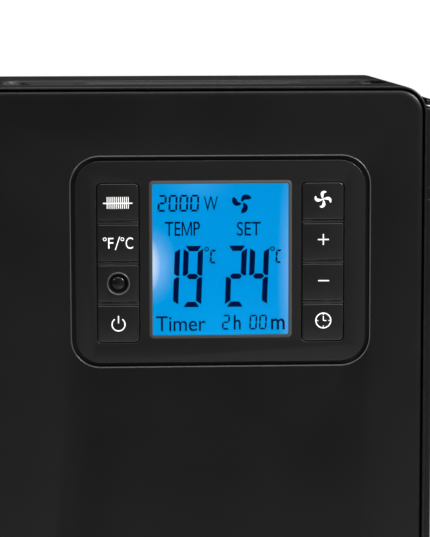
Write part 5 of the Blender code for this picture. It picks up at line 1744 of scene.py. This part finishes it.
for step in range(STRIP_FOLDS):
    back = total_points - 1 - step
    faces.append((step, step + 1, back - 1, back))
    faces.append(
        (total_points + step, total_points + back, total_points + back - 1, total_points + step + 1)
    )
strips = piece("heater_strips", mesh_from("strip", points, faces), aluminium, 20.0)
grown(strips, row_tree, Count=8, Offset=(STRIP_PITCH * MM, 0.0, 0.0), Finish=aluminium)
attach(strips, "heater")

# ---------------------------------------------------------------- fan
# A square duct of moulded plastic, on a pedestal, guides the air. A shaded pole motor stands on three arms
# in it and turns a wheel of six twisted blades, pushed on its shaft.
BLADES = 6
BLADE_SECTIONS = (
    (13.0, 12.3, 45.5), (22.0, 15.5, 42.0), (32.0, 19.0, 38.0), (42.0, 22.2, 34.0), (50.5, 24.0, 30.6),
    (51.8, 21.0, 30.0),
)

duct = refined("fan_housing", "fan_duct_moulding", black_plastic, 0.7, 2, 40.0)
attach(duct, "heater")
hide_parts("fan_housing")

motor_low, motor_high = (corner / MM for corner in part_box("fan_motor"))
motor_back = motor_high.y
motor_profile = (
    (0.01, motor_low.y), (2.0, motor_low.y), (2.4, motor_low.y + 0.5), (2.4, 1.0), (6.0, 1.0), (6.0, 3.0),
    (18.6, 3.0), (20.0, 4.4), (20.0, 16.5), (19.5, 17.0), (19.5, 18.5), (20.0, 19.0), (
        20.0, motor_back - 4.6
    ),
    (
        18.6, motor_back - 3.0
    ), (8.0, motor_back - 3.0), (8.0, motor_back - 0.6), (7.4, motor_back), (0.01, motor_back),
)
motor = piece(
    "fan_motor_can", mesh_from("motor", *lathe(motor_profile, "Y", (tower_x, outlet_z), 40)), plug_steel
)
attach(motor, "heater")
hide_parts("fan_motor")

blade_middle = -12.0
blade_rings = []
for radius, chord, pitch in BLADE_SECTIONS:
    along, across = math.cos(math.radians(pitch)), math.sin(math.radians(pitch))
    section = []
    for place, side in [
        (-0.5, 0), *((s / 6 - 0.5, -1) for s in range(1, 6)), (0.5, 0),
        *((0.5 - s / 6, 1) for s in range(1, 6)),
    ]:
        camber = 1.3 * (0.25 - place * place)
        thick = 0.85 * math.sqrt(max(0.0, 1 - (2 * place) ** 4)) * side + camber * 1.2
        section.append(
            (radius, chord * place * across + thick * along, chord * place * along - thick * across)
        )
    blade_rings.append(section)
blade_item = piece("blade_item", mesh_from("blade", *rings_solid(blade_rings)), None)
blade_spots = bpy.data.meshes.new("blade_spots")
blade_spots.from_pydata([Vector((tower_x, blade_middle, outlet_z)) * MM] * BLADES, [], [])
wheel_blades = bpy.data.objects.new("fan_blades", blade_spots)
bpy.context.scene.collection.objects.link(wheel_blades)
fan_plastic = finish("grey_fan_plastic", (0.07, 0.07, 0.072), 0.4, 2600.0, 0.06, 0.12, 0.06, dust=0.06)
grown(wheel_blades, spot_tree, Likeness=blade_item, Turn=2 * math.pi / BLADES, Finish=fan_plastic)
bpy.data.objects.remove(blade_item, do_unlink=True)
smooth(wheel_blades.data, 50.0)
hub_profile = (
    (2.8, -18.5), (2.8, -2.2), (12.6, -2.2), (14.6, -2.0), (15.0, -2.6), (
        15.0, -19.6
    ), (14.4, -20.4), (12.0, -21.9), (9.4, -22.8),
    (0.01, -22.9), (0.01, -18.5),
)
hub = piece(
    "fan_hub", mesh_from("hub", *lathe(hub_profile, "Y", (tower_x, outlet_z), 40, closed=True)), fan_plastic
)
for part in (wheel_blades, hub):
    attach(part, "fan_wheel")
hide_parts("fan_wheel")

# ---------------------------------------------------------------- heat shield and thermal cut-out
# A bent sheet of aluminium keeps the warmth of the last fin off the electronics. A bimetal cut-out of
# white ceramic is riveted to it and opens the circuit if the heater grows too hot.
for node, material in (("heat_shield", aluminium), ("thermal_cutout", ceramic)):
    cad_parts[node].data.materials.clear()
    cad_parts[node].data.materials.append(material)

# ---------------------------------------------------------------- tilt switch
# A folded steel bracket on the tower's floor carries a brass pendulum. It swings and breaks the circuit
# when the heater falls over.
brass = finish(
    "turned_brass", (0.62, 0.43, 0.17), 0.3, 1200.0, 0.05, 0.15, 0.08, edge_wear_and_highlight_colour=(0.8, 0.62, 0.3), metallic=1.0,
    dust=0.0,
)
for node, material in (("tilt_switch_bracket", plug_steel), ("tilt_pendulum", brass)):
    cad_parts[node].data.materials.clear()
    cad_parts[node].data.materials.append(material)

# ---------------------------------------------------------------- cable gland
# A moulded bush with a tapered, ribbed sleeve keeps the supply cord from chafing on the rear cover.
GLAND_RIBS = 4

gland_profile = [
    (3.6, rear - 9.0), (8.2, rear - 9.0), (8.2, rear + 0.3), (11.6, rear + 0.3), (12.0, rear + 0.7)
]
gland_profile += [(12.0, rear + 3.3), (11.4, rear + 4.0), (9.3, rear + 4.5)]
for rib in range(GLAND_RIBS):
    y, radius = rear + 5.0 + rib * 2.6, 8.95 - 0.36 * rib
    gland_profile += [(radius, y), (radius, y + 1.35), (radius - 0.9, y + 1.6), (radius - 0.95, y + 2.35)]
gland_profile += [(7.5, rear + 15.3), (7.0, rear + 16.0), (4.3, rear + 16.0), (3.6, rear + 15.2)]
rubber = finish(
    "soft_black_rubber", (0.018, 0.018, 0.018), 0.62, 1300.0, 0.16, 0.2, 0.08, edge_wear_and_highlight_colour=(0.05, 0.05, 0.05),
    dust=0.1,
)
gland = piece(
    "cord_gland", mesh_from(
        "gland", *lathe(gland_profile, "Y", (gland_x, gland_z), 44, closed=True)
    ), rubber, 35.0
)
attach(gland, "heater")
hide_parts("cable_gland")

# ---------------------------------------------------------------- foot rails
# Each rail is a channel pressed from two millimetre steel and painted, with rolled edges and two welded
# bushes for the castors. The left one has a cradle for the header, the right one is riveted to the tower.
RAIL_CORNER = 10.0
RAIL_TALL = 14.0
RAIL_SHEET = 2.0
RAIL_BEND = 3.2

rail_paint = finish(
    "rail_black_paint", (
        0.013, 0.013, 0.0135
    ), 0.38, 1500.0, 0.12, 0.15, 0.08, edge_wear_and_highlight_colour=(0.16, 0.15, 0.14), edge_wear_and_highlight_amount=0.35, dust=0.06
)
right_low, right_high = (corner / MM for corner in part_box("foot_rail_right"))
left_low, left_high = (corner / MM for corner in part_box("foot_rail_left"))
rail_top, bush_end = right_high.z, right_low.z
rail_width, rail_length = right_high.x - right_low.x, right_high.y - right_low.y
right_x, left_x = (right_low.x + right_high.x) / 2, (left_low.x + left_high.x) / 2
castor_y = abs((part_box("castor_fork_front_left")[0].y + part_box("castor_fork_front_left")[1].y) / 2 / MM)
header_z = fin_middle.z - header_drop
sections = []
for step in range(7):
    turn = math.pi / 2 * step / 6
    sections.append((RAIL_BEND * (1 - math.sin(turn)), rail_top - RAIL_BEND * (1 - math.cos(turn))))
foot = rail_top - RAIL_TALL
sections += [(0.0, foot + 0.4), (0.4, foot), (RAIL_SHEET - 0.4, foot), (RAIL_SHEET, foot + 0.4)]
sections += [
    (RAIL_SHEET, rail_top - RAIL_BEND), (RAIL_SHEET + 0.4, rail_top - RAIL_SHEET - 0.4),
    (RAIL_SHEET + 1.4, rail_top - RAIL_SHEET),
]
for node, x in (("foot_rail_left", left_x), ("foot_rail_right", right_x)):
    solids = [rings_solid([
        at(
            rounded(rail_width - 2 * i, rail_length - 2 * i, RAIL_CORNER - 0.7 * i, (x, 0.0), 10), "Z", z
        ) for i, z in sections
    ])]
    for y in (-castor_y, castor_y):
        weld = ((4.4, bush_end), (7.5, bush_end), (8.0, bush_end + 0.5), (8.0, rail_top - 4.4),
                (8.8, rail_top - 2.9),
                (10.2, rail_top - RAIL_SHEET), (4.4, rail_top - RAIL_SHEET))
        solids.append(lathe(weld, "Z", (x, y), 32, closed=True))
    rail = piece(f"{node}_channel", mesh_from(node, *joined(*solids)), rail_paint)
    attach(rail, "heater")
    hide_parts(node)

CRADLE = (12.0, 40.0)
header_skin = 24.3
top = header_z - math.sqrt(header_skin**2 - (CRADLE[1] / 2) ** 2)
saddle = [(-CRADLE[1] / 2, rail_top - 1.0), (-CRADLE[1] / 2, top)]
for step in range(1, 16):
    y = CRADLE[1] * (step / 16 - 0.5)
    saddle.append((y, header_z - math.sqrt(header_skin**2 - y * y)))
saddle += [(CRADLE[1] / 2, top), (CRADLE[1] / 2, rail_top - 1.0)]
cradle = piece(
    "header_cradle",
    mesh_from("cradle", *rings_solid([at(saddle, "X", left_x + side * CRADLE[0] / 2) for side in (-1, 1)])),
    rail_paint,
)
soften = cradle.modifiers.new("soften", "BEVEL")
soften.width = 0.5 * MM
soften.segments = 2
soften.limit_method = "ANGLE"
evaluated(cradle)
smooth(cradle.data, 30.0)
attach(cradle, "heater")

under = rail_top - RAIL_SHEET
rivet_item = piece(
    "rivet_item",
    mesh_from(
        "rivet",
        *lathe(
            ((0.01, 0.6), (4.3, 0.6), (4.4, -0.4), (3.9, -1.3), (2.6, -2.0), (0.01, -2.3)), "Z", (0.0, 0.0),
            20,
        ),
    ),
)
rivet_spots = bpy.data.meshes.new("rivet_spots")
rivet_spots.from_pydata(
    [Vector((right_x + x, y, under)) * MM for x in (-9.0, 9.0) for y in (-50.0, 35.0)], [], []
)
rivets = bpy.data.objects.new("rail_rivets", rivet_spots)
bpy.context.scene.collection.objects.link(rivets)
grown(rivets, spot_tree, Likeness=rivet_item, Finish=plug_steel)
bpy.data.objects.remove(rivet_item, do_unlink=True)
smooth(rivets.data, 40.0)
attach(rivets, "heater")

# ---------------------------------------------------------------- U-bolt and wing nuts
# A bent rod of zinc plated steel, threaded at both ends, passes over the header between two fins. Two
# wing nuts under the rail draw it down.
WIRE = 3.0
THREAD_PITCH = 1.0
THREADS = 15

bend = 24.0 + 0.4 + WIRE
bolt_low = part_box("u_bolt")[0].z / MM
path = [(-bend, bolt_low, 90.0), (-bend, bolt_low + 0.7, 90.0)]
path += [
    (
        bend * math.cos(math.radians(180.0 - 7.5 * step)),
        header_z + bend * math.sin(math.radians(180.0 - 7.5 * step)), 90.0 - 7.5 * step,
    )
    for step in range(25)
]
path += [(bend, bolt_low + 0.7, -90.0), (bend, bolt_low, -90.0)]
rings = []
for index, (y, z, heading) in enumerate(path):
    radius = WIRE - 0.5 if index in (0, len(path) - 1) else WIRE
    up_y, up_z = -math.sin(math.radians(heading)), math.cos(math.radians(heading))
    circle = [
        (radius * math.cos(math.radians(22.5 * k)), radius * math.sin(math.radians(22.5 * k)))
        for k in range(16)
    ]
    rings.append([(left_x + a, y + b * up_y, z + b * up_z) for a, b in circle])
bolt = piece("header_bolt", mesh_from("bolt", *rings_solid(rings)), plug_steel)
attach(bolt, "heater")
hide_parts("u_bolt")

turns = []
for side in (-1, 1):
    profile = [
        (WIRE - 0.1, bolt_low + 0.8), (WIRE + 0.3, bolt_low + 1.2), (WIRE + 0.3, bolt_low + 1.35),
        (WIRE - 0.1, bolt_low + 1.75),
    ]
    turns.append(lathe(profile, "Z", (left_x, side * bend), 20, closed=True))
thread = piece("bolt_thread", mesh_from("thread", *joined(*turns)), plug_steel)
grown(thread, row_tree, Count=THREADS, Offset=(0.0, 0.0, THREAD_PITCH * MM), Finish=plug_steel)
smooth(thread.data, 40.0)
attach(thread, "heater")

nut_top = rail_top - RAIL_SHEET - 0.3
nut_low = nut_top - 8.0
for name, y in (("front", -bend), ("rear", bend)):
    nut_profile = ((3.4, nut_low), (4.5, nut_low), (4.9, nut_low + 0.5), (6.3, nut_low + 3.2),
                   (6.5, nut_low + 4.0),
                   (6.5, nut_top - 0.4), (6.1, nut_top), (3.4, nut_top))
    solids = [lathe(nut_profile, "Z", (left_x, y), 32, closed=True)]
    for end in (-1, 1):
        wing = []
        for out, wide, tall, drop in (
            (4.6, 2.6, 6.5, 0.0), (7.0, 2.5, 8.6, 0.4), (10.0, 2.2, 10.6, 0.8), (12.2, 1.9, 9.8, 0.9),
            (13.0, 1.3, 7.6, 0.9),
        ):
            outline = rounded(wide, tall, wide / 2 - 0.02, (y, nut_low + 1.4 - drop), 5)
            wing.append(at(outline, "X", left_x + end * out))
        solids.append(rings_solid(wing))
    nut = piece(f"wing_nut_{name}_cast", mesh_from("wing_nut", *joined(*solids)), plug_steel, 40.0)
    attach(nut, "heater")
    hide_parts(f"wing_nut_{name}")

# ---------------------------------------------------------------- castor forks
# Each fork is pressed from steel plate and blackened. Its stem turns in the rail's bush, and the axle is
# riveted over at both sides.
fork_steel = finish(
    "blackened_fork_steel", (
        0.055, 0.055, 0.058
    ), 0.4, 1100.0, 0.08, 0.2, 0.1, edge_wear_and_highlight_colour=(0.3, 0.29, 0.28), edge_wear_and_highlight_amount=0.5, metallic=0.6, dust=0.05
)
CORNERS = [f"{end}_{side}" for end in ("front", "rear") for side in ("left", "right")]
for corner in CORNERS:
    fork = refined(f"castor_fork_{corner}", f"fork_{corner}_pressed", fork_steel, 0.55, 3, 25.0)
    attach(fork, f"castor_{corner}")
    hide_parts(f"castor_fork_{corner}")

# ---------------------------------------------------------------- castor wheels
# Each wheel is a moulded core with ribs between hub and rim on both sides, and a tread of softer plastic
# moulded round it.
RIBS = 8

core_plastic = finish("castor_core_plastic", (0.03, 0.03, 0.031), 0.42, 2200.0, 0.06, 0.1, 0.06, dust=0.06)
tread_plastic = finish(
    "castor_tread_plastic", (
        0.016, 0.016, 0.016
    ), 0.62, 900.0, 0.18, 0.25, 0.1, edge_wear_and_highlight_colour=(0.09, 0.085, 0.08), edge_wear_and_highlight_amount=0.5, dust=0.12
)
rib_item = piece("rib_item", mesh_from("rib", *joined(*[
    rings_solid(
        [
            at(rounded(1.4 - 2 * i, 10.0 - 2 * i, 0.3, (0.0, 11.6), 2), "Y", side * y)
            for i, y in ((0.0, 5.2), (0.0, 7.6), (0.25, 7.9))
        ]
    )
    for side in (-1, 1)
])))
for corner in CORNERS:
    low, high = (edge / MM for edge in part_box(f"castor_wheel_{corner}"))
    centre, y = ((low.x + high.x) / 2, (low.z + high.z) / 2), (low.y + high.y) / 2
    half, radius = (high.y - low.y) / 2, (high.z - low.z) / 2
    side = [(3.4, half - 0.4), (3.8, half), (6.6, half), (7.1, half - 0.5), (7.4, half - 3.4),
            (radius - 6.3, half - 3.4),
            (radius - 5.7, half - 0.6), (radius - 5.2, half - 0.1), (radius - 2.9, half - 0.1)]
    core_profile = [(r, y - along) for r, along in side] + [(r, y + along) for r, along in reversed(side)]
    core = piece(
        f"wheel_{corner}_core", mesh_from("core", *lathe(core_profile, "Y", centre, 56, closed=True)),
        core_plastic,
    )
    side = [(radius - 3.0, half - 0.2), (radius - 2.4, half), (radius - 1.2, half - 0.3),
            (radius - 0.35, half - 1.3),
            (radius, half - 2.8)]
    tread_profile = [(r, y - along) for r, along in side] + [(r, y + along) for r, along in reversed(side)]
    tread = piece(
        f"wheel_{corner}_tread", mesh_from("tread", *lathe(tread_profile, "Y", centre, 56, closed=True)),
        tread_plastic,
    )
    spots = bpy.data.meshes.new("rib_spots")
    spots.from_pydata([Vector((centre[0], y, centre[1])) * MM] * RIBS, [], [])
    ribs = bpy.data.objects.new(f"wheel_{corner}_ribs", spots)
    bpy.context.scene.collection.objects.link(ribs)
    grown(ribs, spot_tree, Likeness=rib_item, Turn=2 * math.pi / RIBS, Finish=core_plastic)
    smooth(ribs.data, 30.0)
    for part in (core, tread, ribs):
        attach(part, f"wheel_{corner}")
    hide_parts(f"castor_wheel_{corner}")
bpy.data.objects.remove(rib_item, do_unlink=True)

low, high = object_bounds()
